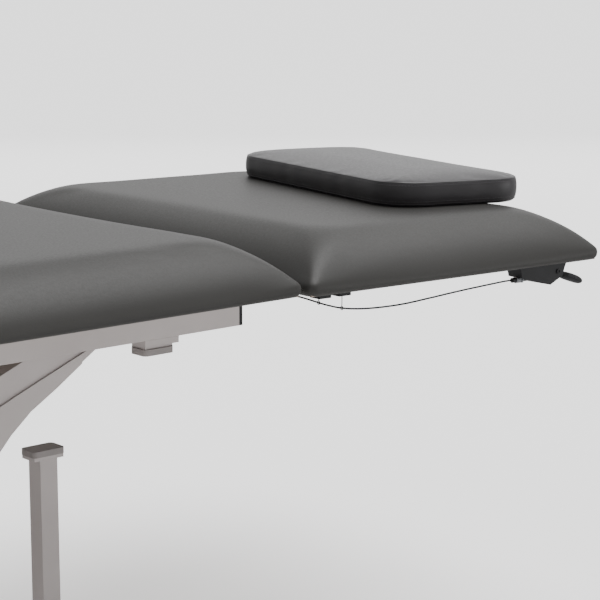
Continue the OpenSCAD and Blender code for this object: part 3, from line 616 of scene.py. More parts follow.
@dataclass(frozen=True)
class Moulded(Finish):
    """Moulded plastic or rubber with a spark-eroded texture."""

    roughness: float
    grain_depth: float = 0.05

    def make(self) -> bpy.types.Material:
        """Build the plastic or rubber.

        Returns:
            The material.
        """
        s = Shader(self.name)
        s.vary(s.noise(40.0), self.dark, self.light)
        grain = s.noise(1800.0, detail=3.0, rough=0.7)
        s.bump(grain, "Fac", self.grain_depth, 0.6, after=s.rounded_edges(0.8))
        s.roughen(grain, self.roughness - 0.06, self.roughness + 0.06)
        s.set(Specular_IOR_Level=0.5)
        return s.material


@dataclass(frozen=True)
class Steel(Finish):
    """Plated or ground steel with fine lines along one axis."""

    roughness: float
    lines: tuple[float, float, float] = (1.0, 0.04, 1.0)

    def make(self) -> bpy.types.Material:
        """Build the metal.

        Returns:
            The material.
        """
        s = Shader(self.name)
        s.vary(s.noise(25.0), self.dark, self.light, 0.25, 0.75)
        line = s.noise(1500.0, detail=3.0, scale=self.lines)
        s.bump(line, "Fac", 0.02, 0.5, after=s.rounded_edges(0.6))
        s.roughen(line, self.roughness - 0.06, self.roughness + 0.08)
        s.set(Metallic=1.0)
        return s.material


@dataclass(frozen=True)
class Plywood(Finish):
    """Birch plywood with its grain along the table."""

    def make(self) -> bpy.types.Material:
        """Build the wood.

        Returns:
            The material.
        """
        s = Shader(self.name)
        grain = s.noise(55.0, detail=8.0, rough=0.6, scale=(0.06, 1.0, 1.0))
        s.vary(grain, self.dark, self.light)
        pores = s.noise(700.0, detail=3.0, scale=(0.05, 1.0, 1.0))
        s.bump(pores, "Fac", 0.12, 0.5)
        s.roughen(pores, 0.55, 0.7)
        return s.material


@dataclass(frozen=True)
class Thread(Finish):
    """Twisted sewing thread."""

    def make(self) -> bpy.types.Material:
        """Build the thread.

        Returns:
            The material.
        """
        s = Shader(self.name)
        fibre = s.noise(2500.0, detail=2.0)
        s.vary(fibre, self.dark, self.light)
        s.bump(fibre, "Fac", 0.1, 0.6)
        s.set(Roughness=0.7, Sheen_Weight=0.3, Sheen_Roughness=0.4)
        return s.material


THREAD = Thread("thread_dark_grey", (62, 61, 62), (92, 90, 92))


class Look(Enum):
    """The table's finishes, by the slot that they dress."""

    POWDER = ("powder_coat", PowderCoat("powder_coat_warm_grey", (158, 151, 149),
                                        (168, 161, 159), 0.42))
    HIDE = ("hide", Hide("hide_dark_grey", (44, 43, 41), (49, 48, 46), 0.48, 950.0, 0.12))
    PILLOW = ("pillow_hide", Hide("pillow_hide_grey", (50, 48, 50), (56, 54, 56), 0.33,
                                  800.0, 0.2))
    WOOD = ("plywood", Plywood("plywood_birch", (136, 124, 116), (162, 149, 138)))
    BLACK = ("black_plastic", Moulded("plastic_black", (17, 17, 19), (24, 24, 27), 0.46))
    BUTTONS = ("buttons", Moulded("rubber_buttons", (104, 102, 102), (114, 112, 112), 0.6))
    PADS = ("pads", Moulded("rubber_pads", (120, 115, 113), (130, 124, 122), 0.62, 0.08))
    STEEL = ("steel", Steel("steel_plated", (168, 170, 174), (196, 198, 202), 0.3))
    BEARING = ("bearing", Moulded("nylon_bearing", (168, 152, 116), (180, 164, 128), 0.5))
    SPRING = ("spring_black", PowderCoat("enamel_black", (24, 24, 26), (30, 30, 32), 0.3))
    CABLE = ("cable", Moulded("cable_black", (14, 14, 16), (21, 21, 23), 0.5, 0.02))

    @property
    def slot(self) -> str:
        """The record's material slot."""
        return self.value[0]

    @property
    def material(self) -> bpy.types.Material:
        """The finish's material, built when it is first asked for."""
        return material_of(self.value[1])


def material_of(finish: Finish) -> bpy.types.Material:
    """Find a finish's material, or build it.

    Args:
        finish: The finish.

    Returns:
        Its material.
    """
    found = bpy.data.materials.get(finish.name)
    return found if found is not None else finish.make()


def dress(obj: bpy.types.Object, look: Look, body: str, finish: Finish | None = None) -> None:
    """Give a finished piece its material and body.

    Args:
        obj: The piece.
        look: Its finish.
        body: The moving body that it rides on.
        finish: A finish of its own, in place of the slot's.
    """
    obj.data.materials.clear()
    obj.data.materials.append(look.material if finish is None else material_of(finish))
    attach(obj, body)
    if obj.type == "MESH":
        LOG.info("%s: %d faces, %s, on %s", obj.name, len(obj.data.polygons), look.slot, body)


def fit(name: str, model: bpy.types.Object, places: Iterable[Matrix], look: Look, body: str,
        finish: Finish | None = None) -> None:
    """Copy a modelled part to its places, join the copies and dress them.

    Args:
        name: The joined part's name.
        model: The part, modelled and settled at the origin; it is used up.
        places: Where each copy goes.
        look: Its finish.
        body: The moving body that it rides on.
        finish: A finish of its own, in place of the slot's.
    """
    dress(gather(name, model, places), look, body, finish)


@dataclass
class CarriedNodes:
    """The frame's own solids, kept as they are and given better materials."""

    def dress(self) -> None:
        """Assign each node the finish of its slot."""
        slots = {s["node"]: s["material_slot"] for s in frame["record"]["subparts"]}
        looks = {look.slot: look for look in Look}
        for name, node in NODES.items():
            look = looks[slots[name]]
            if not node.material_slots:
                node.data.materials.append(look.material)
            for held in node.material_slots:
                held.material = look.material
            LOG.info("%s: frame node, %s", name, look.slot)


@dataclass
class Layout:
    """Sizes and places that several pieces are set out from, in millimetres."""

    section_gap: float = 10.0
    hinge_rise: float = 4.5
    head_drop: float = 3.0
    head_tilt: float = 1.1
    head_l: float = 550.0
    pad_h: float = 72.0
    table_w: float = 750.0
    leaf_hole_x: tuple[float, float] = (12.0, 38.0)
    leaf_hole_y: tuple[float, float] = (114.0, 146.0)
    foot_x: float = field(init=False)
    joint_x: float = field(init=False)
    deck_z: float = field(init=False)
    hinge: Vector = field(init=False)

    def __post_init__(self) -> None:
        """Read the body section's box from the frame."""
        low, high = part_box("body_cushion")
        self.foot_x, self.joint_x, self.deck_z = low.x / MM, high.x / MM, low.z / MM
        self.hinge = Vector((self.joint_x + self.section_gap / 2, 0.0,
                             self.deck_z + self.hinge_rise))

    @property
    def head_x(self) -> float:
        """Near end of the head section, before it tilts."""
        return self.joint_x + self.section_gap

    @property
    def head_end_x(self) -> float:
        """Far end of the head section, before it tilts."""
        return self.head_x + self.head_l

    @property
    def head_z(self) -> float:
        """Underside of the head section, before it tilts."""
        return self.deck_z - self.head_drop

    @property
    def head_place(self) -> Matrix:
        """The tilt of the head section about its hinge."""
        pin = at(*self.hinge)
        return pin @ turn(self.head_tilt, "Y") @ pin.inverted()

    @property
    def leaf_holes(self) -> list[tuple[float, float]]:
        """Holes of a hinge leaf: distance from the section's end, and Y."""
        return [(x, s * y) for x in self.leaf_hole_x for y in self.leaf_hole_y for s in BOTH]


# Upholstery

@dataclass
class Ring:
    """One level of a padded form, in millimetres."""

    inset_x: float
    inset_y: float
    radius: float
    height: float


@dataclass
class PaddedForm:
    """Closed form of four-sided faces through rounded rectangles, one above the other."""

    half_x: float
    half_y: float
    cells_x: int
    cells_y: int
    corner_cells: int
    rings: list[Ring]
    bottom_height: float
    top_height: Callable[[float, float], float]

    @property
    def around(self) -> int:
        """Number of points around a level."""
        return 2 * (self.cells_x + self.cells_y)

    def side(self, out: float, along: float, radius: float, cells: int) -> list[Vector]:
        """Points of one side, from the middle of one corner to the middle of the next.

        Args:
            out: Half size across the side.
            along: Half size along the side.
            radius: Radius of the corners.
            cells: Number of cells on the side.

        Returns:
            The points, with X across the side and Y along it.
        """
        quarter, steps = math.pi / 4, self.corner_cells
        arc = [quarter * k / steps for k in range(steps + 1)]
        low = [Vector((out - radius + radius * math.cos(a - quarter),
                       radius - along + radius * math.sin(a - quarter))) for a in arc]
        high = [Vector((out - radius + radius * math.cos(a),
                        along - radius + radius * math.sin(a))) for a in arc]
        straight = cells - 2 * steps
        mid = [low[-1].lerp(high[0], k / straight) for k in range(1, straight)]
        return low + mid + high

    def outline(self, ring: Ring) -> list[Vector]:
        """Points around one level, counted from a corner.

        Args:
            ring: The level.

        Returns:
            The points in millimetres.
        """
        hx, hy = self.half_x - ring.inset_x, self.half_y - ring.inset_y
        points: list[Vector] = []
        for q in range(4):
            sizes = (hx, hy, self.cells_y) if q % 2 == 0 else (hy, hx, self.cells_x)
            made = self.side(sizes[0], sizes[1], ring.radius, sizes[2])
            spin = Matrix.Rotation(math.radians(90 * q), 2)
            points += [spin @ p for p in made[:-1]]
        return [Vector((p.x, p.y, ring.height)) for p in points]

    def patch(self, edge: list[Vector]) -> dict[tuple[int, int], Vector]:
        """Even grid of points inside a level's outline.

        Args:
            edge: The outline.

        Returns:
            Points by column and row; the outer ones lie on the outline.
        """
        nx, ny = self.cells_x, self.cells_y
        right = [edge[j] for j in range(ny + 1)]
        top = [edge[ny + nx - i] for i in range(nx + 1)]
        left = [edge[ny + nx + ny - j] for j in range(ny + 1)]
        bottom = [edge[(2 * ny + nx + i) % len(edge)] for i in range(nx + 1)]
        span_x, span_y = bottom[nx].x - bottom[0].x, left[ny].y - left[0].y
        grid = {}
        for i in range(nx + 1):
            u = (bottom[i].x - bottom[0].x) / span_x
            for j in range(ny + 1):
                v = (left[j].y - left[0].y) / span_y
                ruled = (bottom[i] * (1 - v) + top[i] * v + left[j] * (1 - u) + right[j] * u)
                corners = (bottom[0] * ((1 - u) * (1 - v)) + bottom[nx] * (u * (1 - v))
                           + top[0] * ((1 - u) * v) + top[nx] * (u * v))
                grid[i, j] = ruled - corners
        return grid

    def edge_index(self, i: int, j: int) -> int:
        """Place along the outline of a grid point on its edge.

        Args:
            i: The point's column.
            j: The point's row.

        Returns:
            Its number along the outline, or the outline's length for the first point.
        """
        nx, ny = self.cells_x, self.cells_y
        if i == nx:
            return j
        if j == ny:
            return ny + nx - i
        if i == 0:
            return 2 * ny + nx - j
        return 2 * ny + nx + i

    def build(self, name: str) -> bpy.types.Object:
        """Build the mesh.

        Args:
            name: The object's name.

        Returns:
            The form, with ring k starting at vertex k times the outline's length.
        """
        levels = [self.outline(ring) for ring in self.rings]
        n = self.around
        made = bmesh.new()
        verts = [made.verts.new(p * MM) for level in levels for p in level]
        for k in range(len(levels) - 1):
            for i in range(n):
                j = (i + 1) % n
                made.faces.new((verts[k * n + i], verts[k * n + j],
                                verts[(k + 1) * n + j], verts[(k + 1) * n + i]))
        for base, flip in ((0, True), ((len(levels) - 1) * n, False)):
            spots = {}
            for (i, j), p in self.patch(levels[base // n]).items():
                if i in (0, self.cells_x) or j in (0, self.cells_y):
                    spots[i, j] = verts[base + self.edge_index(i, j) % n]
                else:
                    height = self.bottom_height if flip else self.top_height(p.x, p.y)
                    spots[i, j] = made.verts.new(Vector((p.x, p.y, height)) * MM)
            for i in range(self.cells_x):
                for j in range(self.cells_y):
                    loop = [spots[i, j], spots[i + 1, j], spots[i + 1, j + 1], spots[i, j + 1]]
                    made.faces.new(loop[::-1] if flip else loop)
        mesh = bpy.data.meshes.new(name)
        made.to_mesh(mesh)
        made.free()
        return placed(name, mesh)


@dataclass
class Swelling:
    """A short cloth simulation that fills a padded form out, and a softening after it."""

    shrink: float
    cap: float
    softening: int = 12
    pressure: float = 4.0
    tension: float = 15.0
    bending: float = 2.0
    mass: float = 0.3
    quality: int = 5
    last_frame: int = 20
    least_hold: float = 0.02

    def run(self, obj: bpy.types.Object, hold: Callable[[int, Vector], float]) -> None:
        """Shrink the form a little, blow it up and keep the result.

        Args:
            obj: The form.
            hold: Gives how firmly a point is held, from 0 to 1, by its number and place.
        """
        mesh = obj.data
        group = obj.vertex_groups.new(name="held")
        for v in mesh.vertices:
            held = min(1.0, max(0.0, hold(v.index, v.co / MM)))
            if held > self.least_hold:
                group.add([v.index], held, "REPLACE")
            v.co -= v.normal * self.shrink * MM * (1 - held)
        begun = [v.co.copy() for v in mesh.vertices]
        cloth = obj.modifiers.new("cloth", "CLOTH")
        cloth.settings.quality = self.quality
        cloth.settings.mass = self.mass
        cloth.settings.tension_stiffness = self.tension
        cloth.settings.compression_stiffness = self.tension
        cloth.settings.bending_stiffness = self.bending
        cloth.settings.use_pressure = True
        cloth.settings.uniform_pressure_force = self.pressure
        cloth.settings.effector_weights.gravity = 0.0
        cloth.settings.vertex_group_mass = "held"
        cloth.collision_settings.use_self_collision = False
        cloth.point_cache.frame_start = 1
        cloth.point_cache.frame_end = self.last_frame
        scene = bpy.context.scene
        for step in range(1, self.last_frame + 1):
            scene.frame_set(step)
        apply_modifier(obj, "cloth")
        scene.frame_set(1)
        moved = 0.0
        for v, a in zip(obj.data.vertices, begun):
            way = v.co - a
            reach = way.length
            moved = max(moved, reach)
            v.co = a + way * (min(reach, self.cap * MM) / reach if reach > 0 else 0.0)
        obj.data.update()
        modify(obj, "SMOOTH", factor=0.5, iterations=self.softening, vertex_group="held",
               invert_vertex_group=True)
        LOG.info("%s: swelled by up to %.1f mm", obj.name, moved / MM)


def refine(obj: bpy.types.Object, place: Matrix) -> None:
    """Subdivide a padded form once, put it in its place and smooth its shading.

    Args:
        obj: The form, around its own origin.
        place: Where it goes.
    """
    modify(obj, "SUBSURF", levels=1, render_levels=1)
    obj.vertex_groups.clear()
    obj.data.transform(place)
    only(obj)
    bpy.ops.object.shade_smooth()


@dataclass
class SectionPad:
    """One padded section of the table top, with its cover wrapped under the board."""

    node: str
    name: str
    body: str
    length: float
    width: float
    place: Matrix
    pad_h: float = 72.0
    edge_h: float = 17.0
    side_run: float = 80.0
    end_run: float = 90.0
    corner_r: float = 12.0
    corner_gain: float = 40.0
    edge_r: float = 9.0
    flap: float = 30.0
    flap_t: float = 0.8
    panel_lift: float = 1.5
    cell: float = 14.0
    corner_cells: int = 3
    crown_steps: int = 14
    crown_power: float = 1 / 1.2
    crown_ease: float = 0.35
    held_h: float = 4.0
    corner_held_h: float = 11.0
    corner_reach: float = 60.0
    hold_fade: float = 12.0
    staple: tuple[float, float, float] = (11.0, 1.2, 0.7)
    staple_pitch: float = 38.0
    staple_inset: float = 23.0
    staple_sink: float = 0.3
    staple_swing: float = 8.0

    def rise(self, t: float) -> float:
        """Height of the crowned edge at a share of its run."""
        return self.edge_h + (self.pad_h - self.edge_h) * (1 - (1 - t) ** 2) ** self.crown_power

    def form(self) -> PaddedForm:
        """Levels of the section, from the board's underside to the flat of the top.

        Returns:
            The form, around the section's middle, with Z = 0 at the board's underside.
        """
        down = -self.flap_t
        rings = [Ring(self.flap + 1, self.flap + 1, 4, self.panel_lift),
                 Ring(self.flap, self.flap, 4, down)]
        rings += [Ring(i, i, 6, down) for i in (22.0, 14.0)]
        for k in range(5):
            a = math.radians(90 * k / 4)
            i = self.edge_r * (1 - math.sin(a))
            z = down + self.edge_r * (1 - math.cos(a))
            rings.append(Ring(i, i, max(self.corner_r - i / 2, 5), z))
        rings.append(Ring(0, 0, self.corner_r, (self.edge_r + self.edge_h) / 2))
        for k in range(self.crown_steps + 1):
            t = k / self.crown_steps
            t = t * t * self.crown_ease + t * (1 - self.crown_ease)
            rings.append(Ring(self.end_run * t, self.side_run * t,
                              self.corner_r + self.corner_gain * t, self.rise(t)))
        nx = round((self.length - 2 * self.end_run) / self.cell)
        ny = round((self.width - 2 * self.side_run) / self.cell)
        return PaddedForm(self.length / 2, self.width / 2, nx, ny, self.corner_cells, rings,
                          self.panel_lift, lambda x, y: self.pad_h)

    def held(self, p: Vector) -> float:
        """How firmly the cover is held at a point: along the board, and higher up its corners.

        Args:
            p: The point in millimetres.

        Returns:
            A share from 0 to 1.
        """
        away = max(self.length / 2 - abs(p.x), self.width / 2 - abs(p.y))
        corner = max(0.0, 1 - away / self.corner_reach)
        return 1.0 - max(0.0, p.z - self.held_h - self.corner_held_h * corner) / self.hold_fade

    def build(self) -> None:
        """Build the section's padding and cover in its place, and staple the cover."""
        obj = self.form().build(self.name)
        Swelling(shrink=2.0, cap=3.0).run(obj, lambda index, p: self.held(p))
        refine(obj, self.place)
        dress(obj, Look.HIDE, self.body)
        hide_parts(self.node)
        self.staples()

    def staples(self) -> None:
        """Staple the cover's flap to the board's underside, all round."""
        hx, hy = self.length / 2 - self.staple_inset, self.width / 2 - self.staple_inset
        z, pitch = -self.flap_t - self.staple_sink, self.staple_pitch
        places = []
        for sign in BOTH:
            places += [self.place @ at(-hx + pitch * (k + 0.5), sign * hy, z)
                       @ turn(self.staple_swing * math.sin(k * 2.4), "Z")
                       for k in range(int(2 * hx / pitch))]
            places += [self.place @ at(sign * hx, -hy + pitch * (k + 0.5), z)
                       @ turn(90 + self.staple_swing * math.sin(k * 1.7), "Z")
                       for k in range(int(2 * hy / pitch))]
        fit(self.name + "_staples", settle(round_off(block("staple", self.staple), 0.25, 1)),
            places, Look.STEEL, self.body)


@dataclass
class LoosePillow:
    """The loose boxed pillow, with a sewn seam round its top and bottom panels."""

    layout: Layout
    length: float = 480.0
    width: float = 240.0
    thick: float = 40.0
    crown: float = 4.5
    corner_r: float = 56.0
    inset: float = 94.0
    side: float = 5.0
    turned: float = 11.6
    rest_gap: float = 0.3
    panel_inset: float = 28.0
    panel_rise: float = 1.7
    cell: float = 7.5
    corner_cells: int = 5
    seam_inset: float = 3.2
    seam_r: float = 0.5
    lower_ring: int = 3
    upper_ring: int = 10
    last_side_ring: int = 15
    stitch: tuple[float, float, float] = (3.0, 0.7, 0.6)
    stitch_pitch: float = 4.4
    stitch_rise: float = 0.2
    pucker_near: float = 0.5
    pucker_far: float = 0.2
    gather_h: float = 2.2
    gather_count: float = 14.0
    seed: int = 7

    @property
    def place(self) -> Matrix:
        """Where the pillow lies on the head section.

        Returns:
            Its place, turned about its middle.
        """
        lay = self.layout
        spot = at(lay.head_end_x - self.inset, -self.side, lay.head_z + lay.pad_h + self.rest_gap)
        return lay.head_place @ spot @ turn(-self.turned, "Z")

    def levels(self) -> list[Ring]:
        """Levels of the pillow, with a seam on the lower and on the upper ring.

        Returns:
            The levels from the underside up, each inset alike along X and Y.
        """
        t, r, s = self.thick, self.corner_r, self.seam_inset
        shape = [(16, 0.0), (9, 0.3), (5.6, 1.8), (s, 4.6), (1.4, 8.2), (0.3, 12.5), (0.0, 17.0),
                 (0.0, 22.5), (0.3, 27.5), (1.4, t - 8.2), (s, t - 4.8), (5.8, t - 2.3),
                 (10, t - 0.7), (15, t + 0.3), (21, t + 1.1),
                 (self.panel_inset, t + self.panel_rise)]
        return [Ring(i, i, r - i * 0.8, z) for i, z in shape]

    def top(self, x: float, y: float) -> float:
        """Height of the top panel at a place.

        Args:
            x: Place along X from the pillow's middle.
            y: Place along Y from the pillow's middle.

        Returns:
            The height in millimetres.
        """
        hx, hy = self.width / 2 - self.panel_inset, self.length / 2 - self.panel_inset
        share = (1 - (x / hx) ** 2) * (1 - (y / hy) ** 2)
        rise = self.panel_rise + (self.crown - self.panel_rise) * math.sqrt(max(share, 0.0))
        return self.thick + rise

    def held(self, ring: int, rings: int, height: float) -> float:
        """How firmly the cover is held at a point: at the seams and on the underside.

        Args:
            ring: The point's ring, counted on for the points inside the panels.
            rings: Number of rings.
            height: Height of the point in millimetres.

        Returns:
            1 where it is held, otherwise 0.
        """
        if ring < rings:
            return 1.0 if ring <= self.lower_ring or ring == self.upper_ring else 0.0
        return 1.0 if height < 1 else 0.0

    def build(self) -> None:
        """Build the pillow, its seams and its stitches."""
        form = PaddedForm(self.width / 2, self.length / 2,
                          round((self.width - 2 * self.panel_inset) / self.cell),
                          round((self.length - 2 * self.panel_inset) / self.cell),
                          self.corner_cells, self.levels(), 0.0, self.top)
        obj = form.build("pillow_pad")
        n, rings = form.around, len(form.rings)
        Swelling(shrink=1.0, cap=4.0, softening=3).run(
            obj, lambda index, p: self.held(index // n, rings, p.z))
        self.pucker(obj, n)
        refine(obj, self.place)
        dress(obj, Look.PILLOW, "loose_pillow")
        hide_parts("pillow")
        self.seam("pillow_lower", obj, n, self.lower_ring, self.lower_ring + 1)
        self.seam("pillow_upper", obj, n, self.upper_ring, self.upper_ring - 1)

    def pucker(self, obj: bpy.types.Object, n: int) -> None:
        """Draw puckers into the cover beside the seams, and gathers into its corners.

        Args:
            obj: The pillow.
            n: Number of points around a ring.
        """
        rng = random.Random(self.seed)
        waves = [(rng.uniform(0.5, 1.1), rng.uniform(0, math.tau), rng.randint(11, 46))
                 for _ in range(6)]
        for v in obj.data.vertices:
            ring, k = divmod(v.index, n)
            lift = self.gathered(v.co / MM)
            near = min(abs(ring - self.lower_ring), abs(ring - self.upper_ring))
            if 1 <= ring <= self.last_side_ring and 1 <= near <= 4:
                a = math.tau * k / n
                wave = sum(h * math.sin(f * a + p) for h, p, f in waves) / 3
                lift += wave * (self.pucker_near if near < 3 else self.pucker_far)
            v.co += v.normal * lift * MM
        obj.data.update()

    def gathered(self, p: Vector) -> float:
        """Height of the gathers that run from a corner's seam into the top panel.

        Args:
            p: A point of the cover in millimetres.

        Returns:
            The height in millimetres, 0 away from the corners.
        """
        x = abs(p.x) - (self.width / 2 - self.corner_r)
        y = abs(p.y) - (self.length / 2 - self.corner_r)
        reach, way = math.hypot(x, y), math.atan2(y, x)
        if min(x, y) <= -30 or p.z <= self.thick - 2 or reach <= 12:
            return 0.0
        phase = (3 if p.x < 0 else 0) + (1.3 if p.y < 0 else 0)
        edge = max(self.corner_r - reach, 0.0)
        fold = math.exp(-edge / 15) * (1 - math.exp(-edge / 3))
        spread = math.exp(-((way - math.pi / 4) / 0.9) ** 2)
        return self.gather_h * math.sin(way * self.gather_count + phase) * fold * spread

    def seam(self, name: str, obj: bpy.types.Object, n: int, ring: int, beside: int) -> None:
        """Lay a seam line along one ring of the cover, and stitches along the next.

        Args:
            name: First part of the names.
            obj: The pillow.
            n: Number of points around a ring.
            ring: The seam's ring.
            beside: The stitches' ring.
        """
        verts = obj.data.vertices
        line = tube(name + "_seam", [verts[ring * n + i].co.copy() for i in range(n)],
                    self.seam_r, closed=True)
        dress(settle(line), Look.PILLOW, "loose_pillow")
        model = start("stitch", bpy.ops.mesh.primitive_uv_sphere_add, segments=6, ring_count=4,
                      radius=0.5)
        model.scale = Vector(self.stitch) * MM
        places, left = [], 0.0
        for i in range(n):
            one, two = verts[beside * n + i], verts[beside * n + (i + 1) % n]
            step = (two.co - one.co).length
            along = (two.co - one.co).normalized()
            while left < step:
                out = one.normal.lerp(two.normal, left / step).normalized()
                spot = one.co + along * left + out * self.stitch_rise * MM
                places.append(Matrix.Translation(spot) @ aim(out, along))
                left += self.stitch_pitch * MM
            left -= step
        fit(name + "_stitches", settle(model, 80), places, Look.PILLOW, "loose_pillow", THREAD)


# The release cable

@dataclass
class ReleaseCable:
    """The cable from the hand lever to the gas spring's release head."""

    layout: Layout
    diameter: float = 2.4
    lever_y: float = 345.0
    lever_reach: float = 398.042
    spring_reach: float = 167.079

    def route(self) -> list[Vector]:
        """The points that the cable runs through, from the lever to the gas spring.

        Returns:
            The points in millimetres, in their place on the tilted head section.
        """
        first, last, y = self.lever_reach, self.spring_reach, -self.lever_y
        points = [(first, y, -20), (first - 20, y, -20), (300, y, -24), (240, y, -28),
                  (190, y, -31), (146, y, -31), (110, y, -29), (80, y, -25), (56, -343, -19),
                  (42, -336, -14), (33, -322, -10), (29, -298, -8), (30, -255, -7),
                  (36, -210, -7), (47, -165, -8), (65, -122, -10), (88, -86, -14),
                  (112, -54, -22), (135, -32, -30), (last - 14, -20, -33), (last, -20, -33)]
        lay = self.layout
        place = lay.head_place @ at(lay.head_x, 0, lay.head_z)
        return [place @ (Vector(p) * MM) for p in points]

    def build(self) -> None:
        """Build the cable as one smooth open curve through its points."""
        points = self.route()
        curve = bpy.data.curves.new("release_cable_line", "CURVE")
        curve.dimensions = "3D"
        curve.resolution_u = 8
        curve.bevel_depth = self.diameter / 2 * MM
        curve.bevel_resolution = 3
        curve.use_fill_caps = True
        spline = curve.splines.new("BEZIER")
        spline.bezier_points.add(len(points) - 1)
        for i, (held, point) in enumerate(zip(spline.bezier_points, points)):
            way = points[min(i + 1, len(points) - 1)] - points[max(i - 1, 0)]
            held.co = point
            held.handle_left_type = held.handle_right_type = "FREE"
            held.handle_left = point - way / 6
            held.handle_right = point + way / 6
        cable = placed("release_cable_line", curve)
        dress(cable, Look.CABLE, "head_section")
        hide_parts("release_cable")


# Small parts

TO_NEAR = turn(90, "X")
TO_FAR = turn(-90, "X")
DOWN = turn(180, "X")


def outward(x: float, y: float, z: float, side: int) -> Matrix:
    """Place beside the middle line at millimetres, with Z away from that line."""
    return at(x, side * y, z) @ (TO_NEAR if side < 0 else TO_FAR)


@dataclass(frozen=True)
class Fixing:
    """One size of screw, bolt, ring or weld, modelled at the origin with its head up."""

    radius: float
    height: float = 0.0
    washer: float = 1.3
    washer_t: float = 1.6
    ripple_pitch: float = 2.7

    def bolt(self) -> bpy.types.Object:
        """Hexagon head on a washer.

        Returns:
            The head and the washer as one piece.
        """
        washer = bar("washer", self.radius * self.washer, self.washer_t, 28,
                     (0, 0, self.washer_t / 2))
        head = bar("head", self.radius, self.height, 6,
                   (0, 0, self.washer_t + self.height / 2))
        pick_faces(head, facing_up)
        inset(self.radius * 0.14, 0.5)
        leave_edit()
        return join("bolt", [settle(round_off(washer, 0.3, 1)),
                             settle(round_off(head, 0.25, 1))])

    def screw(self) -> bpy.types.Object:
        """Round head with a socket in its top.

        Returns:
            The head.
        """
        head = bar("screw", self.radius, self.height, 24, (0, 0, self.height / 2))
        pick_faces(head, facing_up)
        inset(self.radius * 0.5)
        inset(0.05, -self.height * 0.6)
        leave_edit()
        return settle(round_off(head, self.height * 0.2))

    def ring(self, wire: float = 1.4) -> bpy.types.Object:
        """Open round retaining ring.

        Args:
            wire: Thickness of the ring's wire.

        Returns:
            The ring, around Z.
        """
        turns = [math.radians(25 + 310 * k / 24) for k in range(25)]
        points = [Vector((math.cos(a), math.sin(a), 0)) * self.radius * MM for a in turns]
        return settle(tube("ring", points, wire / 2))

    def bead(self) -> bpy.types.Object:
        """One ripple of a weld, narrower at its leading end.

        Returns:
            The ripple.
        """
        drop = start("bead", bpy.ops.mesh.primitive_uv_sphere_add, segments=8, ring_count=5,
                     radius=self.radius * MM)
        drop.scale = (1.0, 1.25, 0.8)
        pick_faces(drop, lambda f: f.center.x > self.radius * 0.6 * MM)
        bpy.ops.transform.resize(value=(1.0, 0.8, 0.8))
        leave_edit()
        return settle(drop, 80)

    def weld_ring(self, around: float) -> bpy.types.Object:
        """Weld around a tube.

        Args:
            around: Radius of the tube.

        Returns:
            The weld, around Z.
        """
        count = round(math.tau * around / self.ripple_pitch)
        return gather("weld", self.bead(),
                      [turn(360 * k / count, "Z") @ at(around, 0, 0) @ turn(70 + 6 * (k % 3), "Z")
                       for k in range(count)])

    def weld_line(self, length: float) -> bpy.types.Object:
        """Straight weld along Z, around the origin.

        Args:
            length: Length of the weld.

        Returns:
            The weld.
        """
        count = round(length / self.ripple_pitch)
        return gather("weld", self.bead(),
                      [at(0, 0, (k + 0.5) * length / count - length / 2)
                       @ turn(80 + 7 * (k % 3), "Y") for k in range(count)])


AXLE_BOLT = Fixing(9.4, 7.0)
PIVOT_BOLT = Fixing(7.4, 6.0)
SPRING_BOLT = Fixing(5.6, 4.0)
BOARD_SCREW = Fixing(5.0, 2.6)
LEAF_SCREW = Fixing(4.4, 1.2)
LEVER_PIN = Fixing(3.8, 1.6)
GEAR_SCREW = Fixing(3.6, 2.6)
LID_SCREW = Fixing(3.0, 1.8)
SWITCH_SCREW = Fixing(2.4, 1.2)
PIN_RING = Fixing(7.4)
ARM_WELD = Fixing(1.9)
TUBE_WELD = Fixing(1.7)
THIN_WELD = Fixing(1.6)


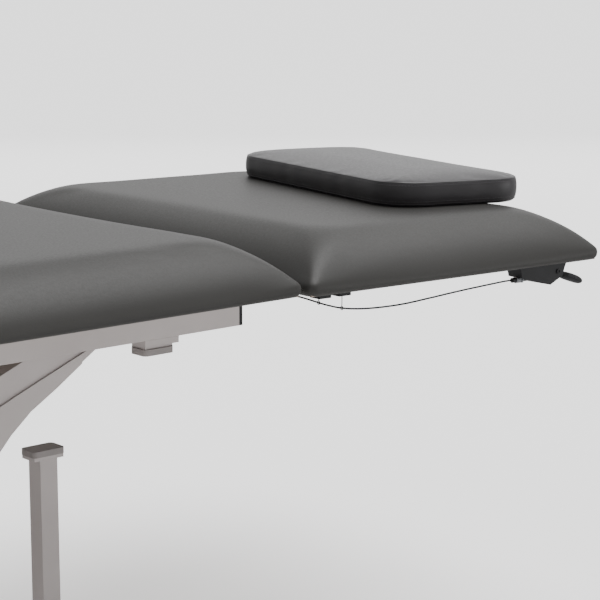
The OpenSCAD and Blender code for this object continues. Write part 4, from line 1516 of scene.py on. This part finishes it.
@dataclass
class FloorFrame:
    """Small parts of the floor frame."""

    axles: tuple[float, float] = (-406.5, -926.5)
    axle_z: float = 110.0
    axle_end: float = 277.5
    feet: tuple[float, float] = (-938.5, 189.3)
    foot_y: float = 270.0
    foot_grips: int = 24
    cross_x: tuple[float, ...] = (-926.5, -804.5, -106.5, 155.3)
    cross_y: float = 250.0
    half_tube: float = 20.0
    tube_z: float = 60.0
    post_x: float = 155.3
    post_y: float = 128.0
    post_z: float = 80.2
    half_post: float = 13.0
    actuator_x: float = -106.5
    ring_y: float = 22.0
    lid_t: float = 1.6
    lid_margin: float = 2.5
    lid_rim: float = 13.0
    screw_inset: float = 9.0

    def build(self) -> None:
        """Build bolts, foot collars, welds, the control box's lid and the pin rings."""
        fit("axle_bolts", AXLE_BOLT.bolt(),
            [outward(x, self.axle_end, self.axle_z, s) for x in self.axles for s in BOTH],
            Look.STEEL, "base")
        self.collars()
        fit("base_welds", TUBE_WELD.weld_line(2 * self.half_tube - 3),
            [at(x + side * self.half_tube, s * self.cross_y, self.tube_z)
             for x in self.cross_x for s in BOTH for side in BOTH], Look.POWDER, "base")
        fit("post_welds", THIN_WELD.weld_line(2 * self.half_post - 1),
            [at(self.post_x, s * self.post_y, self.post_z) @ turn(90 * q, "Z")
             @ at(0, self.half_post, 0) @ turn(90, "Y") for s in BOTH for q in range(4)],
            Look.POWDER, "base")
        self.lid()
        fit("base_pin_rings", PIN_RING.ring(),
            [at(self.actuator_x, s * self.ring_y, self.axle_z) @ TO_NEAR for s in BOTH],
            Look.STEEL, "base")

    def collars(self) -> None:
        """Swivel collars on top of the feet, with a ring of grips round each pad."""
        cup = start("cup", bpy.ops.mesh.primitive_cone_add, vertices=32, radius1=15 * MM,
                    radius2=9.5 * MM, depth=6 * MM, location=(0, 0, 17 * MM))
        round_off(cup, 0.8)
        grip = settle(round_off(block("grip", (1.6, 2.4, 8.0), (24.6, 0, 6.5)), 0.5))
        grips = gather("grips", grip, [turn(360 * k / self.foot_grips, "Z")
                                       for k in range(self.foot_grips)])
        fit("foot_collars", join("collar", [settle(cup), grips]),
            [at(x, s * self.foot_y, 0) for x in self.feet for s in BOTH], Look.BLACK, "base")

    def lid(self) -> None:
        """Lid of the control box, with a sunken panel and four screws."""
        low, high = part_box("control_box")
        middle, reach = (low + high) / 2 / MM, (high - low) / 2 / MM
        top = high.z / MM
        lid = block("control_lid", (2 * (reach.x - self.lid_margin),
                                    2 * (reach.y - self.lid_margin), self.lid_t),
                    (middle.x, middle.y, top + self.lid_t / 2))
        pick_faces(lid, facing_up)
        inset(self.lid_rim)
        inset(1.0, -0.9)
        leave_edit()
        dress(settle(round_off(lid, 0.4)), Look.BLACK, "base")
        x, y = reach.x - self.screw_inset, reach.y - self.screw_inset
        fit("control_screws", LID_SCREW.screw(),
            [at(middle.x + i * x, middle.y + j * y, top + self.lid_t - 0.1)
             for i in BOTH for j in BOTH], Look.STEEL, "base")


@dataclass
class Arms:
    """Small parts of the two lift arms and the actuator between them."""

    pivots: tuple[tuple[str, float], ...] = (("front_arm", -406.5), ("rear_arm", -926.5))
    low_z: float = 110.0
    beam_y: float = 204.0
    cross: tuple[float, float] = (507.5, 459.4)
    tube_r: float = 24.0
    crank_tip: tuple[float, float] = (-354.4, 405.4)
    crank_y: float = 20.4
    ring_y: float = 22.0
    base_pin: tuple[float, float] = (-106.5, 110.0)
    leaning: float = 130.0
    tube_end: float = 302.9
    motor_y: float = 53.0
    ribs_from: float = 118.0
    rib_pitch: float = 14.0
    rib_count: int = 7

    def build(self) -> None:
        """Build the arms' welds and the actuator's rings, ribs, screws and seal."""
        for body, x in self.pivots:
            fit(body + "_welds", ARM_WELD.weld_ring(self.tube_r),
                [at(x + dx, s * self.beam_y, z) @ TO_NEAR
                 for dx, z in ((0, self.low_z), self.cross) for s in BOTH], Look.POWDER, body)
        fit("crank_welds", TUBE_WELD.weld_ring(self.tube_r),
            [at(self.pivots[0][1], s * self.crank_y, self.low_z) @ TO_NEAR for s in BOTH],
            Look.POWDER, "front_arm")
        x, z = self.crank_tip
        fit("crank_pin_rings", PIN_RING.ring(),
            [at(x, s * self.ring_y, z) @ TO_NEAR for s in BOTH], Look.STEEL, "front_arm")
        self.actuator()

    def actuator(self) -> None:
        """Ribs on the motor, screws in the gear housing and the seal round the rod."""
        x, z = self.base_pin
        lean = at(x, 0, z) @ turn(-self.leaning, "Y")
        fit("motor_ribs", hoop("rib", 28, 1.5, 8),
            [lean @ at(self.ribs_from + self.rib_pitch * k, self.motor_y, 0) @ turn(90, "Y")
             for k in range(self.rib_count)], Look.BLACK, "actuator_body")
        fit("gear_screws", GEAR_SCREW.screw(),
            [lean @ at(a, y, b) @ (TO_NEAR if y < 0 else TO_FAR)
             for y in (-31.8, 83.8) for a in (34, 88) for b in (-20, 20)],
            Look.STEEL, "actuator_body")
        fit("rod_seal", hoop("seal", 14, 2.4, 10),
            [lean @ at(self.tube_end + 1.4, 0, 0) @ turn(90, "Y")],
            Look.BLACK, "actuator_body")


@dataclass
class UpperFrame:
    """Small parts of the frame under the body section."""

    layout: Layout
    pivots: tuple[float, float] = (162.3, -357.7)
    pivot_z: float = 518.0
    pin_end: float = 192.0
    cross_x: tuple[float, ...] = (-906.7, -592.7, -102.7, 238.9, 312.3)
    cross_z: float = 525.0
    half_tube: float = 15.0
    rail_y: float = 275.0
    screw_y: tuple[float, ...] = (-225, -95, 95, 225)
    screw_z: float = 510.0
    leaf_z: float = 536.1
    spring_pin: tuple[float, float] = (238.9, 419.2)
    spring_y: float = 15.0
    buttons: tuple[tuple[str, str, float, int], ...] = (
        ("up_mark", "up_button", -714.7, 1), ("down_mark", "down_button", -754.7, -1))
    button_y: float = 330.6
    button_z: float = 520.0
    switch_y: float = 327.0
    switch_screws: tuple[tuple[float, float], ...] = ((-771.2, 508.5), (-698.2, 531.5))

    def build(self) -> None:
        """Build the frame's bolts, screws and welds, and the switch's marks."""
        fit("pivot_bolts", PIVOT_BOLT.bolt(),
            [at(x, s * self.pin_end, self.pivot_z) @ (TO_FAR if s < 0 else TO_NEAR)
             for x in self.pivots for s in BOTH], Look.STEEL, "upper_frame")
        fit("rail_welds", THIN_WELD.weld_line(2 * self.half_tube - 2),
            [at(x + side * self.half_tube, s * self.rail_y, self.cross_z)
             for x in self.cross_x for s in BOTH for side in BOTH],
            Look.POWDER, "upper_frame")
        fit("board_screws", BOARD_SCREW.screw(),
            [at(x, y, self.screw_z) @ DOWN for x in self.cross_x for y in self.screw_y],
            Look.STEEL, "upper_frame")
        fit("body_leaf_screws", LEAF_SCREW.screw(),
            [at(self.layout.joint_x - dx, y, self.leaf_z) @ DOWN
             for dx, y in self.layout.leaf_holes], Look.STEEL, "upper_frame")
        x, z = self.spring_pin
        fit("spring_bolts", SPRING_BOLT.bolt(),
            [outward(x, self.spring_y, z, s) for s in BOTH], Look.STEEL, "upper_frame")
        self.marks()

    def marks(self) -> None:
        """Raised arrow on each button, and the switch housing's screws."""
        for name, body, x, way in self.buttons:
            arrow = round_off(bar(name, 4.6, 1.0, 3), 0.3)
            arrow.data.transform(at(x, -self.button_y, self.button_z - way * 0.8) @ TO_NEAR
                                 @ turn(0 if way > 0 else 180, "Z"))
            dress(settle(arrow), Look.BLACK, body)
        fit("switch_screws", SWITCH_SCREW.screw(),
            [outward(x, self.switch_y, z, -1) for x, z in self.switch_screws],
            Look.STEEL, "upper_frame")


@dataclass
class HeadFittings:
    """Small parts of the head section: lever grip, adjuster, cable loops and screws."""

    layout: Layout
    lever_inset: float = 71.0
    lever_y: float = 345.0
    pivot_drop: float = 13.0
    pin_y: float = 13.0
    slope: float = 17.0
    grip_reach: float = 40.0
    cable_drop: float = 20.0
    adjuster_x: float = 409.0
    leaf_drop: float = 3.9
    screw_drop: float = 25.0
    screw_y: tuple[float, ...] = (-150, -70, 70, 150)
    end_tube: float = 52.5
    spring_pin: tuple[float, float] = (190.08, -43.53)
    spring_y: float = 15.0
    clips: tuple[tuple[float, float, float], ...] = ((45, -338.5, -15.2), (79, -345, -24.8))
    clip_drop: float = 6.5
    loop_r: float = 2.3

    def build(self) -> None:
        """Build the fittings in the head section's tilted place."""
        lay, body = self.layout, "head_section"
        tilt, pin_x, pin_z = lay.head_place, *self.spring_pin
        self.grip(tilt)
        pivot = tilt @ at(lay.head_end_x - self.lever_inset, -self.lever_y,
                          lay.head_z - self.pivot_drop)
        fit("lever_pins", LEVER_PIN.screw(), [pivot @ outward(0, self.pin_y, 0, s) for s in BOTH],
            Look.BLACK, body)
        self.adjuster(tilt)
        self.loops(tilt)
        fit("head_leaf_screws", LEAF_SCREW.screw(),
            [tilt @ at(lay.head_x + dx, y, lay.head_z - self.leaf_drop) @ DOWN
             for dx, y in lay.leaf_holes], Look.STEEL, body)
        fit("head_board_screws", BOARD_SCREW.screw(),
            [tilt @ at(x, y, lay.head_z - self.screw_drop) @ DOWN
             for x in (lay.hinge.x + pin_x, lay.head_end_x - self.end_tube)
             for y in self.screw_y], Look.STEEL, body)
        fit("spring_head_bolt", SPRING_BOLT.bolt(),
            [tilt @ outward(lay.hinge.x + pin_x, self.spring_y, lay.hinge.z + pin_z, 1)],
            Look.STEEL, body)

    def grip(self, tilt: Matrix) -> None:
        """Moulded finger grip on the lever's paddle.

        Args:
            tilt: Place of the head section.
        """
        lay = self.layout
        grip = block("lever_grip", (22, 24, 13))
        for way, steps in ((1, ((9, 0.86), (6, 0.6))), (-1, ((6, 0.72), (3, 0.6)))):
            for reach, share in steps:
                pick_faces(grip, lambda f: f.normal.x * way > 0.95)
                extrude((way * reach, 0, -0.08 * reach))
                bpy.ops.transform.resize(value=(1.0, share, share))
                leave_edit()
        modify(grip, "SUBSURF", levels=3, render_levels=3)
        grip.data.transform(tilt @ at(lay.head_end_x - self.lever_inset, -self.lever_y,
                                      lay.head_z - self.pivot_drop)
                            @ turn(self.slope, "Y") @ at(self.grip_reach, 0, -1.5))
        dress(settle(grip, 60), Look.BLACK, "hand_lever")

    def adjuster(self, tilt: Matrix) -> None:
        """Barrel adjuster and lock nut where the cable enters the lever housing.

        Args:
            tilt: Place of the head section.
        """
        lay = self.layout
        barrel = bar("barrel", 4.7, 9, 20)
        pick_faces(barrel, lambda f: abs(f.normal.z) < 0.5 and f.index % 2 == 0)
        bpy.ops.mesh.inset(thickness=0.35 * MM, depth=-0.4 * MM, use_individual=True)
        leave_edit()
        round_off(barrel, 0.2, 1)
        nut = round_off(bar("nut", 5.4, 3, 6, (0, 0, 7.5)), 0.4, 1)
        fit("cable_adjuster", join("adjuster", [settle(barrel), settle(nut)]),
            [tilt @ at(lay.head_x + self.adjuster_x, -self.lever_y, lay.head_z - self.cable_drop)
             @ turn(90, "Y")], Look.STEEL, "head_section")

    def loops(self, tilt: Matrix) -> None:
        """Straps that hang the cable from its two clips.

        Args:
            tilt: Place of the head section.
        """
        place = tilt @ at(self.layout.head_x, 0, self.layout.head_z)
        turns = [math.radians(90 + 350 * k / 18) for k in range(19)]
        made = []
        for x, y, z in self.clips:
            points = [Vector((x, y, -self.clip_drop)), Vector((x, y, z + 2.4))]
            points += [Vector((x, y + self.loop_r * math.cos(a), z + self.loop_r * math.sin(a)))
                       for a in turns]
            made.append(settle(tube("loop", [place @ (p * MM) for p in points], 0.6)))
        dress(join("cable_loops", made), Look.BLACK, "head_section")


# Studio

@dataclass(frozen=True)
class Panel:
    """One oblong soft light, in metres and watts."""

    name: str
    place: tuple[float, float, float]
    aimed: tuple[float, float, float]
    size: tuple[float, float]
    power: float

    def hang(self) -> None:
        """Hang the light in its place, facing what it lights."""
        data = bpy.data.lights.new(self.name, "AREA")
        data.shape = "RECTANGLE"
        data.size, data.size_y = self.size
        data.energy = self.power
        made = placed(self.name, data)
        made.location = self.place
        look_towards(made, Vector(self.aimed) - Vector(self.place))


@dataclass
class Studio:
    """Pale floor, soft lights and the camera at the photograph's angle."""

    lens: float = 117.0
    sensor: float = 36.0
    sight: float = 300.0
    from_corner: tuple[float, float, float] = (-1565.8, -1778.3, 440.5)
    look_along: tuple[float, float, float] = (0.6474, 0.7395, -0.1843)
    floor_size: float = 120.0
    floor_colour: tuple[int, int, int] = (250, 250, 250)
    floor_glow: float = 0.6
    room: float = 0.45
    sky_power: float = 3.3
    sky_way: tuple[float, float, float] = (-0.30, 0.10, -0.95)
    sky_spread: float = 55.0
    panels: tuple[Panel, ...] = (
        Panel("backdrop", (4.2, 4.4, 3.0), (0.6, 0.0, 0.6), (9.0, 4.4), 104.0),
        Panel("side_panel", (5.0, -4.2, 0.75), (0.9, -0.3, 0.5), (2.8, 1.4), 26.0))

    def camera(self) -> None:
        """Place the camera from the body section's near corner at the head end."""
        low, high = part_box("body_cushion")
        data = bpy.data.cameras.new("camera")
        data.lens = self.lens
        data.sensor_width = self.sensor
        data.clip_end = self.sight
        made = placed("camera", data)
        made.location = Vector((high.x, low.y, low.z)) + Vector(self.from_corner) * MM
        look_towards(made, Vector(self.look_along))
        bpy.context.scene.camera = made

    def floor(self) -> None:
        """Lay a plain pale floor under the feet."""
        made = start("floor", bpy.ops.mesh.primitive_plane_add, size=self.floor_size)
        s = Shader("floor_pale")
        s.set(Roughness=0.9, Emission_Strength=self.floor_glow,
              Base_Color=linear(self.floor_colour), Emission_Color=WHITE)
        made.data.materials.append(s.material)
        made.visible_glossy = False

    def light(self) -> None:
        """Set the white room, a wide ceiling light and the soft panels."""
        world = bpy.data.worlds.new("room")
        world.use_nodes = True
        back = world.node_tree.nodes["Background"]
        back.inputs["Color"].default_value = WHITE
        back.inputs["Strength"].default_value = self.room
        bpy.context.scene.world = world
        data = bpy.data.lights.new("ceiling", "SUN")
        data.energy = self.sky_power
        data.angle = math.radians(self.sky_spread)
        look_towards(placed("ceiling", data), Vector(self.sky_way))
        for panel in self.panels:
            panel.hang()

    def build(self) -> None:
        """Set the camera, the floor and the lights."""
        self.camera()
        self.floor()
        self.light()


def main() -> None:
    """Build the studio, the finishes and the pieces in order."""
    logging.basicConfig(level=logging.INFO, format="%(name)s %(message)s")
    Studio().build()
    lay = Layout()
    ReleaseCable(lay).build()
    CarriedNodes().dress()
    body_l = lay.joint_x - lay.foot_x
    SectionPad("body_cushion", "body_pad", "upper_frame", body_l, lay.table_w,
               at((lay.foot_x + lay.joint_x) / 2, 0, lay.deck_z)).build()
    SectionPad("head_cushion", "head_pad", "head_section", lay.head_l, lay.table_w,
               lay.head_place @ at((lay.head_x + lay.head_end_x) / 2, 0, lay.head_z)).build()
    LoosePillow(lay).build()
    FloorFrame().build()
    Arms().build()
    UpperFrame(lay).build()
    HeadFittings(lay).build()


if __name__ == "__main__":
    main()
